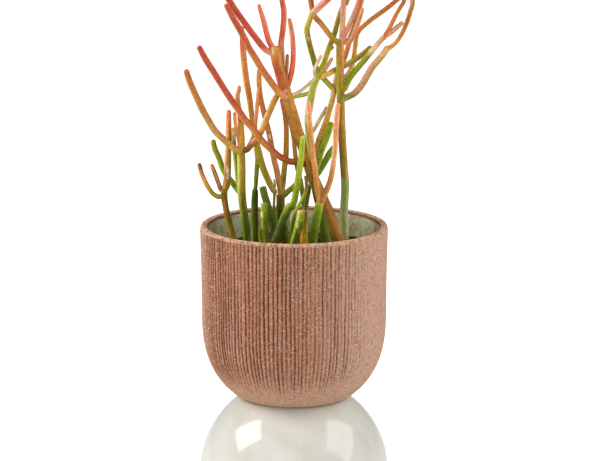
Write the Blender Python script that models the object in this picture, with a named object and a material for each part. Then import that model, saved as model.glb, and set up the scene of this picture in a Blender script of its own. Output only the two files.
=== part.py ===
"""A potted pencil-stem succulent: a ribbed clay cup full of soil and branching stems, on a glazed ball.

Lengths are in metres. The origin is the middle of the ball's flat foot, +Z is up and the front is -Y.
"""
import math

import bmesh
import bpy
from mathutils import Vector

MM = 0.001
TOUCH_GAP = 0.0003

# Ball stand
BALL_RADIUS = 0.0858
BALL_CENTRE_HEIGHT = 0.0555
BALL_TOP_HEIGHT = 0.128
BALL_WALL = 0.006
BALL_MOUTH_RADIUS = 0.030
BALL_EDGE_ROUNDING = 0.0015
BALL_SIDES = 40

# Pot
POT_HEIGHT = 0.157
POT_RIM_RADIUS = 0.0843
POT_BELLY_RADIUS = 0.0829
POT_SHOULDER_DEPTH = 0.080
POT_BOWL_DEPTH = 0.093
POT_BOWL_POWER = 2.6
POT_WALL = 0.0072
POT_FLOOR = 0.008
POT_SIDES = 64
POT_FOOT_ROUNDING = 0.0012
LIP_ROUND = 0.0024

# Combed ridges on the outside of the pot
RIDGE_COUNT = 96
RIDGE_HEIGHT = 0.0009
RIDGE_TOP_DEPTH = 0.0035
RIDGE_FADE = 0.003
RIDGE_BOTTOM_DEPTH = 0.151

# Soil
SOIL_DEPTH = 0.025
SOIL_HUMMOCK = 0.0012
ROOT_DEPTH = 0.058
ROOT_COLLAR = 0.0255
ROOT_CLEARANCE = 0.0005
HOLE_SIDES = 12

# Stem tubes
THICK_SIDES = 8
THIN_SIDES = 6
THICK_FROM_RADIUS = 0.0022
SMOOTH_STEPS = 8
LONGEST_RUN = 0.026
TURN_PER_RING = math.radians(11)
THINNING_PER_RING = 0.16
BLUNT_FROM_RADIUS = 0.0030

POT_BASE_HEIGHT = BALL_TOP_HEIGHT + TOUCH_GAP
RIM_HEIGHT = POT_BASE_HEIGHT + POT_HEIGHT

# Each stem lists its shoots. A shoot is the route of its middle line, in millimetres from the centre of
# the pot's rim: right, back, up, and the radius there. The first shoot is rooted straight down in the
# soil; the others start inside the shoot that they grow from.
STEMS = {
    "stem_left_edge": {
        "colour": (0.55, 0.30, 0.10),
        "shoots": [
            [(-54, -6, -22, 2.8), (-54.7, -6, -11, 2.8), (-56.7, -6, -4, 2.9), (-58.7, -6, 5, 2.9),
             (-60.7, -6, 14, 2.8), (-62.4, -6, 25, 2.9), (-62.6, -6, 34, 3.1)],
            [(-63, -6, 27, 2.2), (-68, -7, 27, 2.1), (-73, -7, 30, 2.1), (-77, -8, 36, 2.1),
             (-80, -8, 42, 2.1), (-82.5, -8, 48, 2.1), (-84, -8, 54, 2.0), (-85, -8, 58, 1.7)],
            [(-63, -5, 31, 2.0), (-66, -4, 34, 2.0), (-70, -3, 45, 2.0), (-74, -2, 56, 1.8)],
            [(-62.6, -5, 31, 2.6), (-60.6, -3, 37, 3.2), (-59.6, -2, 50, 3.3), (-59.1, -1, 69, 3.0),
             (-58.6, 0, 82, 2.8), (-58.3, 0, 105, 2.1)],
        ],
    },
    "stem_left_fork": {
        "colour": (0.46, 0.42, 0.10),
        "shoots": [
            [(-42.4, -10, -22, 3.5), (-42.4, -10, -11, 3.5), (-43.3, -10, 1, 3.6), (-45, -10, 14, 3.6),
             (-46.8, -10, 30, 3.7), (-46.9, -10, 52, 3.7), (-47.3, -10, 71, 3.6)],
            [(-47, -10, 68, 3.0), (-52, -12, 71, 3.0), (-62.2, -13, 79.7, 3.0), (-70.7, -14, 88.9, 3.0),
             (-76.5, -15, 98.7, 3.0), (-81.4, -16, 107.8, 3.0), (-85.4, -17, 116.8, 3.0),
             (-89.4, -17, 125.8, 2.9), (-93, -18, 135, 2.9), (-95.9, -18, 144.6, 2.5)],
            [(-48, -10, 68, 1.8), (-49.3, -8, 79, 1.8), (-51.5, -7, 88, 1.8), (-53.2, -6, 104, 1.7)],
            [(-47.5, -10, 68, 3.1), (-46.8, -8, 78, 3.0), (-47.2, -5, 88, 2.8), (-47.6, -3, 96, 2.6),
             (-49.2, -2, 107, 2.3), (-50.4, -2, 117, 2.1), (-48.8, -2, 124, 1.9), (-49.6, -2, 127.2, 1.3)],
            [(-47, -10, 33, 2.0), (-50, -8, 40, 2.0), (-51, -7, 47, 2.0), (-52.5, -6.5, 61, 2.0),
             (-53.7, -6.5, 77, 2.0), (-54.5, -6.5, 90, 1.8)],
            [(-47, -10, 69, 2.6), (-42, -10, 70.5, 2.6), (-38, -9.5, 74.5, 2.6), (-33.5, -9, 79.5, 2.6),
             (-28.5, -7, 87.7, 2.8), (-25, -5, 96.2, 2.9), (-21.2, -3, 105.2, 2.9), (-16.8, 1, 114.2, 2.8),
             (-14.2, 5, 118, 2.5), (-12.8, 8, 121, 2.1)],
            [(-42, -9, 71, 1.0), (-40, -8, 76, 1.0), (-36.5, -7, 83, 0.8)],
            [(-47, -9, 30, 2.7), (-51, -3, 33, 2.7), (-54, 3, 36, 2.7), (-59.5, 7, 42, 2.7),
             (-64, 9, 49, 2.7), (-67.5, 10, 59, 2.7), (-71, 10, 67, 2.6), (-73, 10, 76, 2.3)],
        ],
    },
    "stem_left_slim": {
        "colour": (0.50, 0.36, 0.10),
        "shoots": [
            [(-35.6, 3, -22, 3.2), (-35.6, 3, -14, 3.2), (-35.5, 3, 12, 3.2), (-35, 3, 29, 2.8),
             (-34.8, 3, 32, 1.8), (-34.3, 3, 36, 1.9), (-33.5, 3, 49, 2.1), (-32.8, 4, 58, 2.2),
             (-33.6, 4, 67, 2.3), (-35.2, 4, 77, 2.3), (-37.7, 4, 97, 2.4), (-39.5, 3, 113, 2.7),
             (-42.5, 3, 131, 2.9), (-44.6, 3, 149, 2.8), (-45.8, 3, 167, 2.5), (-46.3, 3, 180, 1.8)],
        ],
    },
    "stub_front_left": {
        "colour": (0.36, 0.45, 0.08),
        "shoots": [
            [(-25, -38, -22, 3.4), (-25, -38, -7, 3.4), (-26, -38, 8, 3.4), (-26.5, -38, 17, 3.4),
             (-26.5, -38, 28.5, 3.3)],
            [(-25, -38, -12, 1.5), (-29, -40, -9, 1.5), (-30.5, -40, 0, 1.5), (-29.5, -40, 5, 1.3)],
        ],
    },
    "stub_dark": {
        "colour": (0.16, 0.24, 0.05),
        "shoots": [
            [(-15, -12, -22, 3.3), (-16, -12, -14, 3.3), (-19, -12, 2, 3.3), (-21, -12, 11, 3.3),
             (-23.5, -12, 20, 3.3), (-26.3, -12, 29, 3.3), (-28.2, -12, 37.6, 3.2)],
        ],
    },
    "stem_front_leaning": {
        "colour": (0.30, 0.42, 0.06),
        "shoots": [
            [(-18, -46, -22, 3.5), (-18, -46, -14, 3.5), (-17, -46, -5, 3.5), (-14, -45, 2, 3.5),
             (-11.5, -44, 9.5, 3.5), (-6.5, -42, 21, 3.5), (-3, -40, 28, 3.4)],
            [(-3, -40, 24, 2.9), (0, -39, 29, 2.9), (2, -38, 39, 2.9), (3.5, -37, 48, 2.8),
             (5, -36, 58, 2.8), (6, -36, 66, 2.7), (7, -35, 76, 2.6), (8, -35, 88, 2.4)],
        ],
    },
    "stem_middle_fork": {
        "colour": (0.45, 0.28, 0.07),
        "shoots": [
            [(-6, 0, -22, 3.8), (-7, 0, -17, 3.8), (-9, 0, -5, 3.8), (-11, 0, 4, 3.8),
             (-12, 0, 14, 3.8), (-12, 0, 28, 3.8)],
            [(-12, 0, 24, 2.7), (-12, 1, 30, 2.7), (-13.5, 2, 38, 2.7), (-15.5, 3, 49, 2.7),
             (-18.2, 4, 60, 2.6), (-20.6, 5, 73, 2.6), (-22.9, 6, 85, 2.5), (-26, 6, 97, 2.4),
             (-28.9, 6, 110, 2.4), (-30.4, 6, 119, 2.4), (-31.2, 6, 129, 2.3), (-31, 6, 141, 2.1)],
            [(-12, 0, 25, 2.2), (-10.5, 1, 31, 2.3), (-9.5, 2, 40, 2.4), (-8.6, 3, 51, 2.5),
             (-7.2, 5, 62, 2.5), (-6.9, 6, 76, 2.4), (-6.9, 7, 87, 2.3), (-8, 8, 98, 2.2),
             (-9.8, 8, 107, 2.1), (-11.2, 8, 114, 2.0)],
            [(-12, 0, 24, 2.6), (-9, 0, 27, 2.6), (-4.5, 0, 31, 2.6), (0, 1, 34.5, 2.6),
             (3.2, 1, 38.6, 2.5)],
        ],
    },
    "stem_middle_thread": {
        "colour": (0.48, 0.38, 0.08),
        "shoots": [
            [(-16, -5, -22, 1.5), (-16, -5, 0, 1.2), (-17.5, -5, 12, 1.2), (-18, -5, 19, 1.2),
             (-17.5, -5, 27, 1.3), (-17.3, -5, 31, 2.4), (-18.8, -5, 33, 2.7), (-23, -5, 41.4, 2.9),
             (-26.8, -5, 50.3, 3.0), (-29.7, -4, 59.4, 3.0), (-31.8, -3, 68.4, 2.9), (-33.4, -3, 76, 2.5),
             (-34.2, -3, 81.5, 1.9), (-34.6, -2, 90.5, 1.8), (-33.4, -2, 102.5, 1.8),
             (-32.3, -2, 114, 1.8), (-31.3, -2, 126, 1.6)],
            [(-18.5, -5, 32, 0.9), (-17, -6, 37, 0.9), (-18, -6, 43, 0.9)],
        ],
    },
    "stem_middle_kinked": {
        "colour": (0.35, 0.40, 0.08),
        "shoots": [
            [(-4, -48, -22, 2.0), (-3.5, -48, -7, 2.0), (-2, -48, 6.5, 2.0), (-1, -48, 17, 2.2),
             (2.5, -47, 24, 1.6), (7, -46, 32, 1.6), (10.5, -45, 40, 1.6), (11, -45, 47, 1.6),
             (10, -45, 54, 1.4)],
        ],
    },
    "stub_front_middle": {
        "colour": (0.36, 0.45, 0.08),
        "shoots": [
            [(-1, -56, -22, 3.4), (-1, -56, -12, 3.5), (0.5, -56, -2.5, 3.6), (3, -56, 6.5, 3.6),
             (5.3, -56, 15.5, 3.6), (6.5, -56, 25, 3.4)],
        ],
    },
    "stem_yellow": {
        "colour": (0.50, 0.38, 0.06),
        "shoots": [
            [(9, -18, -22, 3.5), (9, -18, -11, 3.5), (9.3, -18, 0, 3.4), (9.5, -18, 8, 3.0),
             (10, -18, 17, 2.6), (11.3, -18, 26, 2.3), (13, -18, 35, 2.2), (13.3, -18, 41, 2.1)],
            [(10, -18, 15, 2.1), (8.5, -16, 25, 2.1), (7.2, -12, 34, 2.1), (5.8, -8, 42, 2.1),
             (3.4, 0.5, 49.5, 2.1), (1.8, 7, 57, 2.0), (0.6, 8, 67, 2.0), (-0.3, 9, 76, 1.9),
             (-1.8, 10.5, 84.5, 1.9), (-4.4, 12, 95.5, 1.8), (-7.3, 12.5, 107, 1.6)],
        ],
    },
    "stem_front_pair": {
        "colour": (0.62, 0.30, 0.14),
        "shoots": [
            [(17, -32, -22, 4.0), (17, -32, -8, 4.0), (18.2, -32, 1.5, 4.0), (20, -32, 10.5, 4.0),
             (21.6, -32, 19.5, 4.0), (23, -32, 27, 3.9)],
            [(22.5, -32, 24, 2.7), (23, -30, 31, 2.7), (21.3, -29, 37.5, 2.7), (20.1, -28, 46.5, 2.7),
             (18.8, -27, 55.5, 2.6), (17.4, -26, 64.5, 2.5), (16.4, -26, 73.5, 2.5), (15.5, -25, 82.5, 2.4),
             (14.5, -25, 91.5, 2.4), (13.7, -25, 100.5, 2.4), (13.1, -24, 109.5, 2.4),
             (12.8, -24, 117.2, 2.0)],
            [(23, -32, 24, 2.6), (26, -31.5, 31, 2.6), (29.2, -31, 38, 2.6), (32.4, -30, 47, 2.5),
             (34.2, -29, 56, 2.5), (35.3, -28, 64.5, 2.5), (36.3, -27, 73.5, 2.5), (37, -26, 82.5, 2.4),
             (37.2, -26, 92, 2.4), (37.8, -25, 100.5, 2.4), (38.3, -25, 109, 2.3),
             (39.5, -25, 115.5, 2.0)],
        ],
    },
    "stem_right_curved": {
        "colour": (0.34, 0.38, 0.10),
        "shoots": [
            [(29, -8, -22, 4.4), (29, -8, -13, 4.4), (27, -8, -2, 3.8), (25, -8, 8.5, 3.4),
             (23, -8, 17.5, 3.3), (20.7, -8, 25.5, 3.2), (19.2, -8, 33, 3.2), (18.3, -8, 42, 3.2),
             (18, -8, 51.5, 3.2), (16.5, -8, 60.5, 3.1), (15.2, -8, 69.5, 3.1), (14, -8, 78, 3.1),
             (12.8, -8, 88, 3.1), (12.5, -8, 97, 3.2), (13.4, -8, 106, 3.3), (14.8, -8, 115, 3.3),
             (16.5, -8, 124, 3.3), (19.3, -8, 132.8, 3.2), (21.3, -8, 137, 3.0), (26.4, -3, 146.9, 2.6),
             (30, 0, 156.9, 2.5), (33.2, 3, 165.5, 2.5), (36.3, 4.5, 173.4, 2.4), (38.7, 7, 182.4, 2.3),
             (41.3, 9, 191, 2.3), (44.3, 9, 197.5, 2.3), (47.5, 9, 202, 2.3), (51.5, 9, 224, 2.1)],
            [(20, -8, 134, 2.6), (25, -4, 136, 2.6), (30.7, 1, 137, 2.6), (36.5, 15, 138, 2.6),
             (45.5, 18, 141.5, 2.6), (54.3, 16.5, 147, 2.6), (63.3, 14.5, 154, 2.5),
             (69.5, 12.5, 160, 2.3)],
            [(20, -8, 134, 1.6), (18.5, -9, 139, 1.6), (18.3, -9, 143, 1.6), (21, -9, 149, 1.6),
             (24.5, -7, 155.5, 1.5)],
            [(30, 0, 157.5, 1.6), (33, 3, 159.5, 1.6), (35.5, 5, 161, 1.5)],
            [(18.2, -8, 46, 2.9), (18.5, -7, 58, 2.9), (19.5, -6.5, 66, 2.9), (21, -6, 72, 2.9),
             (22.7, -4, 78, 2.9), (26, -2, 86.5, 2.9), (29.2, 0, 95.5, 2.8), (31.7, 3, 104, 2.7),
             (34.2, 7, 112, 2.6), (35.7, 13, 120, 2.5), (37.4, 18, 128, 2.4), (39.7, 24, 136, 2.4),
             (43.5, 24, 143, 2.4), (47, 20, 153, 2.3), (49.5, 16.5, 162.5, 2.3), (51.5, 15, 166.5, 2.2),
             (55, 15, 174.5, 2.2), (57.8, 15, 182.5, 2.1), (60, 15, 190, 2.1), (60.9, 15, 195, 1.9)],
            [(36, 13, 120, 2.5), (34.6, 13, 121.8, 2.4), (29.9, 12.5, 127.1, 2.4), (24.5, 12, 133.4, 2.4),
             (19.3, 11, 142.2, 2.4), (17.3, 9, 150.2, 2.5), (15.2, 7, 157.5, 2.5), (12.2, 2, 171, 2.6),
             (11.6, 0, 177.5, 2.6), (13.4, -3, 184.5, 2.5), (16, -6, 191.5, 2.8), (23, -7, 199, 3.1),
             (29.8, -8, 205.5, 3.1), (39, -9, 214, 3.0), (47, -9, 227, 2.9), (51.3, -9, 241, 2.7)],
            [(18.2, -8, 46, 2.8), (20, -9.5, 54, 2.9), (22.2, -10, 61, 2.9), (24.8, -10, 70, 2.9),
             (28.4, -9, 79, 2.9), (31.5, -9, 88, 2.9), (33.3, -8, 95.5, 2.7)],
            [(18, -8, 45, 2.8), (23, -5, 50.5, 2.9), (28.5, -3, 59.5, 2.9), (31, -2, 64, 2.9),
             (33.8, -1, 68, 2.8), (36.3, 0, 71.5, 2.5)],
            [(13.3, -8, 82, 1.8), (17.7, -3, 87, 1.8), (23, 2, 95.5, 1.8), (27.5, 6, 102.5, 1.8),
             (29.5, 9, 106, 1.6)],
        ],
    },
    "stem_thick_leaning": {
        "colour": (0.58, 0.20, 0.08),
        "shoots": [
            [(40, 8, -22, 5.0), (40, 8, -16, 5.0), (37.1, 8, -7, 5.0), (33.8, 8, 2, 5.1),
             (30.4, 7.5, 11.5, 5.1), (26.3, 7, 21, 5.1), (22, 6, 30.5, 5.2), (18, 5.5, 39.5, 5.3),
             (15, 5, 48.5, 5.3), (12, 4, 58, 5.3), (7.6, 3, 72, 5.2), (2.7, 2, 86, 5.2),
             (0.3, 1.5, 95, 5.2), (-2.5, 1, 104, 5.2), (-5.3, 0, 113.5, 5.1), (-7.9, 0, 122.5, 5.1),
             (-10.4, 0, 132, 5.1), (-12.8, 0, 141, 5.0), (-15.4, 0, 150, 4.9), (-17, 0, 162.5, 4.4)],
            [(13, 4, 54, 2.9), (5, -1, 57, 2.9), (-4.5, -6, 59, 2.9), (-10, -9, 62.3, 2.9),
             (-15, -12, 66, 2.9), (-20.3, -14, 71.3, 3.0), (-29.2, -16, 80.3, 3.0), (-36, -17, 90, 3.0),
             (-43.5, -18, 99, 3.0), (-49.5, -18, 108, 3.0), (-55.7, -18, 117, 3.0),
             (-61.6, -18, 126.1, 2.9), (-67.3, -19, 135.8, 2.9), (-72.6, -20, 144.7, 2.9),
             (-78.3, -20, 153.9, 2.8), (-84.5, -20, 166, 2.4)],
            [(-15, 0, 153, 2.8), (-21, -1, 156.8, 2.8), (-26.1, -2, 160, 2.8), (-32.9, -3, 168.7, 2.8),
             (-39.5, -4, 177.6, 2.8), (-45.8, -4, 186.5, 2.8), (-52, -5, 195.7, 2.7), (-58, -5, 205, 2.8),
             (-68, -5, 220, 2.7), (-78, -5, 236, 2.4)],
            [(-16, 0, 156, 2.5), (-20, 2, 162, 2.6), (-22.8, 3, 168, 2.6), (-25.2, 4, 177, 2.5),
             (-27.4, 4, 186, 2.3), (-30.2, 4, 195, 1.8), (-31.3, 4, 199.6, 1.4)],
            [(-12.5, 2, 128, 2.3), (-11, 4.5, 139, 2.4), (-10.6, 6, 150, 2.4), (-11.2, 5, 159, 2.6),
             (-11.5, 4, 163.5, 2.7), (-10.9, 3, 168.5, 2.6), (-9.8, 2, 177, 2.6), (-9, 1, 186, 2.6),
             (-9.1, 0, 195, 2.6), (-10.5, 0, 204, 2.5), (-13, 0, 224, 2.5), (-16, 0, 243, 2.3)],
            [(-8.5, 0, 126, 1.8), (-7, -1, 134, 1.8), (-6.3, -1, 145, 1.8), (-5.6, -1, 155.4, 1.6)],
            [(-7.5, 0, 121, 2.3), (-4.2, 1, 130, 2.3), (-1.8, 1, 140, 2.4), (-0.7, 1, 150, 2.3),
             (-0.7, 1, 159, 2.3), (-1.1, 1, 168, 2.3), (-2.3, 1, 177, 2.2), (-4.3, 1, 187.5, 1.6)],
            [(-5.5, -1, 115.5, 3.0), (-9.3, -5, 118.3, 3.1), (-14.8, -9.5, 123.8, 3.1),
             (-22, -14, 134.4, 3.1), (-28.4, -17, 144.2, 3.1), (-33.6, -19, 153.5, 3.0),
             (-39.2, -20, 162.9, 2.9), (-43.4, -21, 171.8, 2.9), (-48, -22, 181, 2.9),
             (-53.6, -23, 191, 2.8), (-60.3, -24, 204, 2.3)],
            [(-6, 0, 115, 1.9), (-0.8, 2, 117.7, 1.8), (5.8, 3, 121.1, 1.6), (11.4, 4, 125.5, 1.6),
             (16.3, 5, 129.6, 1.7), (21.7, 6, 133.2, 1.8), (25.8, 7, 137.2, 1.8), (30.1, 7.5, 143.5, 1.8),
             (34.4, 7.5, 150.8, 1.6)],
            [(-5.5, 0, 112, 2.0), (0, 2, 116, 2.0), (6, 3, 117, 2.0), (12.5, 3, 119, 2.0),
             (15.5, 3, 121, 1.8)],
        ],
    },
    "stem_right_edge": {
        "colour": (0.38, 0.30, 0.10),
        "shoots": [
            [(46, 22, -22, 3.8), (45.8, 22, -11.5, 3.8), (45.2, 21, 1.5, 3.8), (45.5, 20, 13.5, 3.8),
             (46.2, 18.5, 27.5, 3.8), (46, 17, 38, 3.8), (45.5, 16.5, 45, 3.6), (45, 16, 51, 3.6),
             (44.2, 15, 63, 3.5), (43.5, 14, 74, 3.5), (42.7, 12.5, 88, 3.5), (42.2, 11, 102, 3.6),
             (41.6, 9, 121, 3.6), (41.3, 8, 139, 3.6), (41.2, 6.5, 157.5, 3.6), (41.8, 5, 165, 3.5)],
            [(43, 13.5, 81, 1.8), (47.2, 13.5, 82.5, 1.7)],
            [(41, 5, 163, 2.5), (37, -2, 167.5, 2.5), (32, -6, 173, 2.5), (27.5, -5, 178.5, 2.5),
             (23, -2, 184, 2.5), (18.6, 1, 188.5, 2.5), (16, 2, 196, 2.5), (14.9, 2, 203.5, 2.5),
             (10.6, 2, 230, 2.3)],
            [(42, 5, 163, 2.5), (42.5, 3, 168, 2.5), (43, 1, 177, 2.5), (43.5, 0, 190, 2.5),
             (44, 0, 204, 2.5), (45, 0, 244, 2.3)],
            [(42.5, 5, 164, 2.3), (44.4, 3, 169, 2.3), (46.2, 2, 174, 2.3), (50.6, 1, 184, 2.3),
             (54.2, 0, 193, 2.3), (57.7, 0, 203.5, 2.3), (63.8, 0, 239, 2.1)],
            [(43, 5, 163, 1.8), (48, 6, 166, 1.8), (50.6, 8, 171, 1.8), (54.2, 8, 180.5, 1.8),
             (57.7, 8, 190.5, 1.8), (60.9, 8, 202, 1.8), (66.5, 8, 229, 1.6)],
            [(41.4, 8, 130, 2.2), (45.5, 11, 132, 2.2), (50, 18, 136, 2.2), (52.9, 23, 143, 2.2),
             (54, 24, 150.5, 2.2), (55, 24, 158.5, 2.2), (55.8, 23, 166.5, 2.2), (57.6, 22, 171.5, 2.2),
             (59.8, 21, 174.7, 2.2), (67.8, 19, 182, 2.2), (76.7, 17, 189, 2.2), (85.6, 15, 196, 2.2),
             (91.3, 14, 201, 2.1), (110, 10, 218, 1.9)],
            [(41.5, 9, 119, 2.7), (45.4, 8, 123, 2.7), (49.8, 7, 132, 2.7), (56, 6, 140.5, 2.7),
             (63, 5, 149, 2.7), (69.2, 5, 157, 2.7), (72.7, 5, 161, 2.4), (76.2, 4, 165.5, 2.3),
             (80.6, 4, 170, 2.3), (86, 5, 173.5, 2.2), (92, 6, 178.5, 2.2), (97.7, 7, 183, 1.9)],
            [(79.8, 4, 168.2, 2.1), (82.1, 3.5, 172.6, 2.0), (85.8, 3, 179.6, 1.9), (90.1, 2, 188.6, 1.9),
             (94.5, 2, 196.6, 1.9), (98, 1, 203.3, 1.9), (101.6, -3, 222, 1.8)],
            [(41.8, 10, 111, 3.0), (46, 8, 114, 3.0), (50, 7, 116, 3.0), (54.4, 5, 119, 3.1),
             (58.8, 4, 124, 3.1), (62.3, 3, 129.4, 3.1), (66.1, 2, 136.7, 3.1), (70.2, 2, 143.4, 3.1),
             (76.2, 2, 150.5, 3.0), (80.6, 2, 156, 2.9), (84, 2, 162, 2.8)],
            [(84, 2, 160, 2.4), (87, 2, 161.6, 2.1), (90.8, 1, 165.2, 1.9), (94, 1, 169.8, 1.9),
             (97, 1, 175.1, 2.0), (99.3, 0, 180.6, 2.1), (101.6, 0, 187, 2.2), (103.5, 0, 194, 2.2),
             (105.2, 0, 203.5, 2.3), (105.8, 0, 248, 2.2)],
        ],
    },
}


# Scene and materials
def clear_scene():
    for thing in list(bpy.data.objects):
        bpy.data.objects.remove(thing, do_unlink=True)


def give_material(thing, colour, roughness, metallic=0.0):
    material = bpy.data.materials.new(thing.name)
    material.use_nodes = True
    shader = material.node_tree.nodes["Principled BSDF"]
    shader.inputs["Base Color"].default_value = (*colour, 1.0)
    shader.inputs["Roughness"].default_value = roughness
    shader.inputs["Metallic"].default_value = metallic
    thing.data.materials.clear()
    thing.data.materials.append(material)


def make_object(name, mesh, height=0.0, sharp_angle=None):
    thing = bpy.data.objects.new(name, mesh)
    bpy.context.scene.collection.objects.link(thing)
    thing.location.z = height
    mesh.shade_smooth()
    if sharp_angle is not None:
        mesh.set_sharp_from_angle(angle=math.radians(sharp_angle))
    return thing


def finish_mesh(name, bm):
    bmesh.ops.recalc_face_normals(bm, faces=bm.faces)
    mesh = bpy.data.meshes.new(name)
    bm.to_mesh(mesh)
    bm.free()
    return mesh


# Booleans that are applied at once, with their tools removed
def apply_boolean(thing, tools, operation):
    group = bpy.data.collections.new(thing.name + "_tools")
    bpy.context.scene.collection.children.link(group)
    for tool in tools:
        bpy.context.scene.collection.objects.unlink(tool)
        group.objects.link(tool)
        tool.hide_render = True
        tool.display_type = "WIRE"
    step = thing.modifiers.new(operation.lower(), "BOOLEAN")
    step.operation = operation
    step.operand_type = "COLLECTION"
    step.collection = group
    step.solver = "EXACT"
    seen = thing.evaluated_get(bpy.context.evaluated_depsgraph_get())
    result = bpy.data.meshes.new_from_object(seen)
    thing.modifiers.remove(step)
    thing.data = result
    for tool in tools:
        bpy.data.objects.remove(tool, do_unlink=True)
    bpy.data.collections.remove(group)


# Turned shapes
def turned_mesh(name, outline, sides):
    """Spins an outline of (radius, height) points, which starts and ends on the axis, right round."""
    bm = bmesh.new()
    points = [bm.verts.new((radius, 0.0, height)) for radius, height in outline]
    edges = [bm.edges.new(pair) for pair in zip(points, points[1:])]
    bmesh.ops.spin(bm, geom=points + edges, cent=(0, 0, 0), axis=(0, 0, 1),
                   angle=math.tau, steps=sides, use_merge=True)
    bmesh.ops.remove_doubles(bm, verts=bm.verts, dist=0.00002)
    return finish_mesh(name, bm)


def arc(centre_height, radius, start_angle, end_angle, steps):
    for step in range(steps + 1):
        angle = start_angle + (end_angle - start_angle) * step / steps
        yield radius * math.cos(angle), centre_height + radius * math.sin(angle)


def build_ball_stand():
    inner_radius = BALL_RADIUS - BALL_WALL
    foot_angle = math.asin(-BALL_CENTRE_HEIGHT / BALL_RADIUS)
    top_angle = math.asin((BALL_TOP_HEIGHT - BALL_CENTRE_HEIGHT) / BALL_RADIUS)
    foot_radius = BALL_RADIUS * math.cos(foot_angle) - BALL_EDGE_ROUNDING
    top_radius = BALL_RADIUS * math.cos(top_angle) - BALL_EDGE_ROUNDING
    edge_turn = BALL_EDGE_ROUNDING / BALL_RADIUS
    floor_angle = math.asin((BALL_WALL - BALL_CENTRE_HEIGHT) / inner_radius)
    roof_height = BALL_TOP_HEIGHT - BALL_WALL
    roof_angle = math.asin((roof_height - BALL_CENTRE_HEIGHT) / inner_radius)
    outline = [(0.0, 0.0), (foot_radius, 0.0)]
    outline += arc(BALL_CENTRE_HEIGHT, BALL_RADIUS, foot_angle + edge_turn, top_angle - edge_turn, 13)
    outline += [(top_radius, BALL_TOP_HEIGHT), (BALL_MOUTH_RADIUS, BALL_TOP_HEIGHT)]
    outline += [(BALL_MOUTH_RADIUS, roof_height)]
    outline += arc(BALL_CENTRE_HEIGHT, inner_radius, roof_angle, floor_angle, 7)
    outline += [(0.0, BALL_WALL)]
    stand = make_object("ball_stand", turned_mesh("ball_stand", outline, BALL_SIDES), sharp_angle=40)
    give_material(stand, (0.76, 0.73, 0.63), 0.12)


# Pot
def pot_radius(depth):
    """The outer radius at a depth below the rim: a slightly flared wall, then a rounded bowl."""
    if depth < POT_SHOULDER_DEPTH:
        rise = 1.0 - depth / POT_SHOULDER_DEPTH
        return POT_BELLY_RADIUS + (POT_RIM_RADIUS - POT_BELLY_RADIUS) * rise * rise
    fall = (depth - POT_SHOULDER_DEPTH) / POT_BOWL_DEPTH
    return POT_BELLY_RADIUS * math.sqrt(1.0 - fall ** POT_BOWL_POWER)


def inner_radius(depth):
    """The radius inside the wall, which follows the outside at the wall's thickness."""
    slope = (pot_radius(depth + MM) - pot_radius(depth)) / MM
    return pot_radius(depth) - POT_WALL * math.hypot(1.0, slope)


def ridge_strength(depth):
    """How far the comb's ridges stand out at a depth: nothing at the lip and at the foot."""
    from_top = (depth - RIDGE_TOP_DEPTH) / RIDGE_FADE
    from_bottom = (RIDGE_BOTTOM_DEPTH - depth) / RIDGE_FADE
    return max(0.0, min(1.0, from_top, from_bottom))


def ridge(angle, depth):
    """The comb's wave round the pot, uneven in height as a hand-held comb leaves it."""
    uneven = 0.72 + 0.18 * math.sin(5.0 * angle + 0.6) + 0.10 * math.sin(13.0 * angle + 2.0)
    return RIDGE_HEIGHT * ridge_strength(depth) * uneven * math.cos(RIDGE_COUNT * angle)


def ring(bm, radius, height, sides, depth=None):
    verts = []
    for side in range(sides):
        angle = math.tau * side / sides
        reach = radius if depth is None else radius + ridge(angle, depth)
        verts.append(bm.verts.new((reach * math.cos(angle), reach * math.sin(angle), height)))
    return verts


def skin(bm, first, second):
    """Joins two rings. A ring with three times as many points is gathered into the other by threes."""
    if len(first) < len(second):
        first, second = second, first
    count = len(second)
    if len(first) == count:
        for side in range(count):
            after = (side + 1) % count
            bm.faces.new((first[side], first[after], second[after], second[side]))
        return
    for side in range(count):
        near, far = second[side], second[(side + 1) % count]
        a, b, c, d = (first[(3 * side + k) % len(first)] for k in range(4))
        bm.faces.new((a, b, near))
        bm.faces.new((b, c, far, near))
        bm.faces.new((c, d, far))


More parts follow.
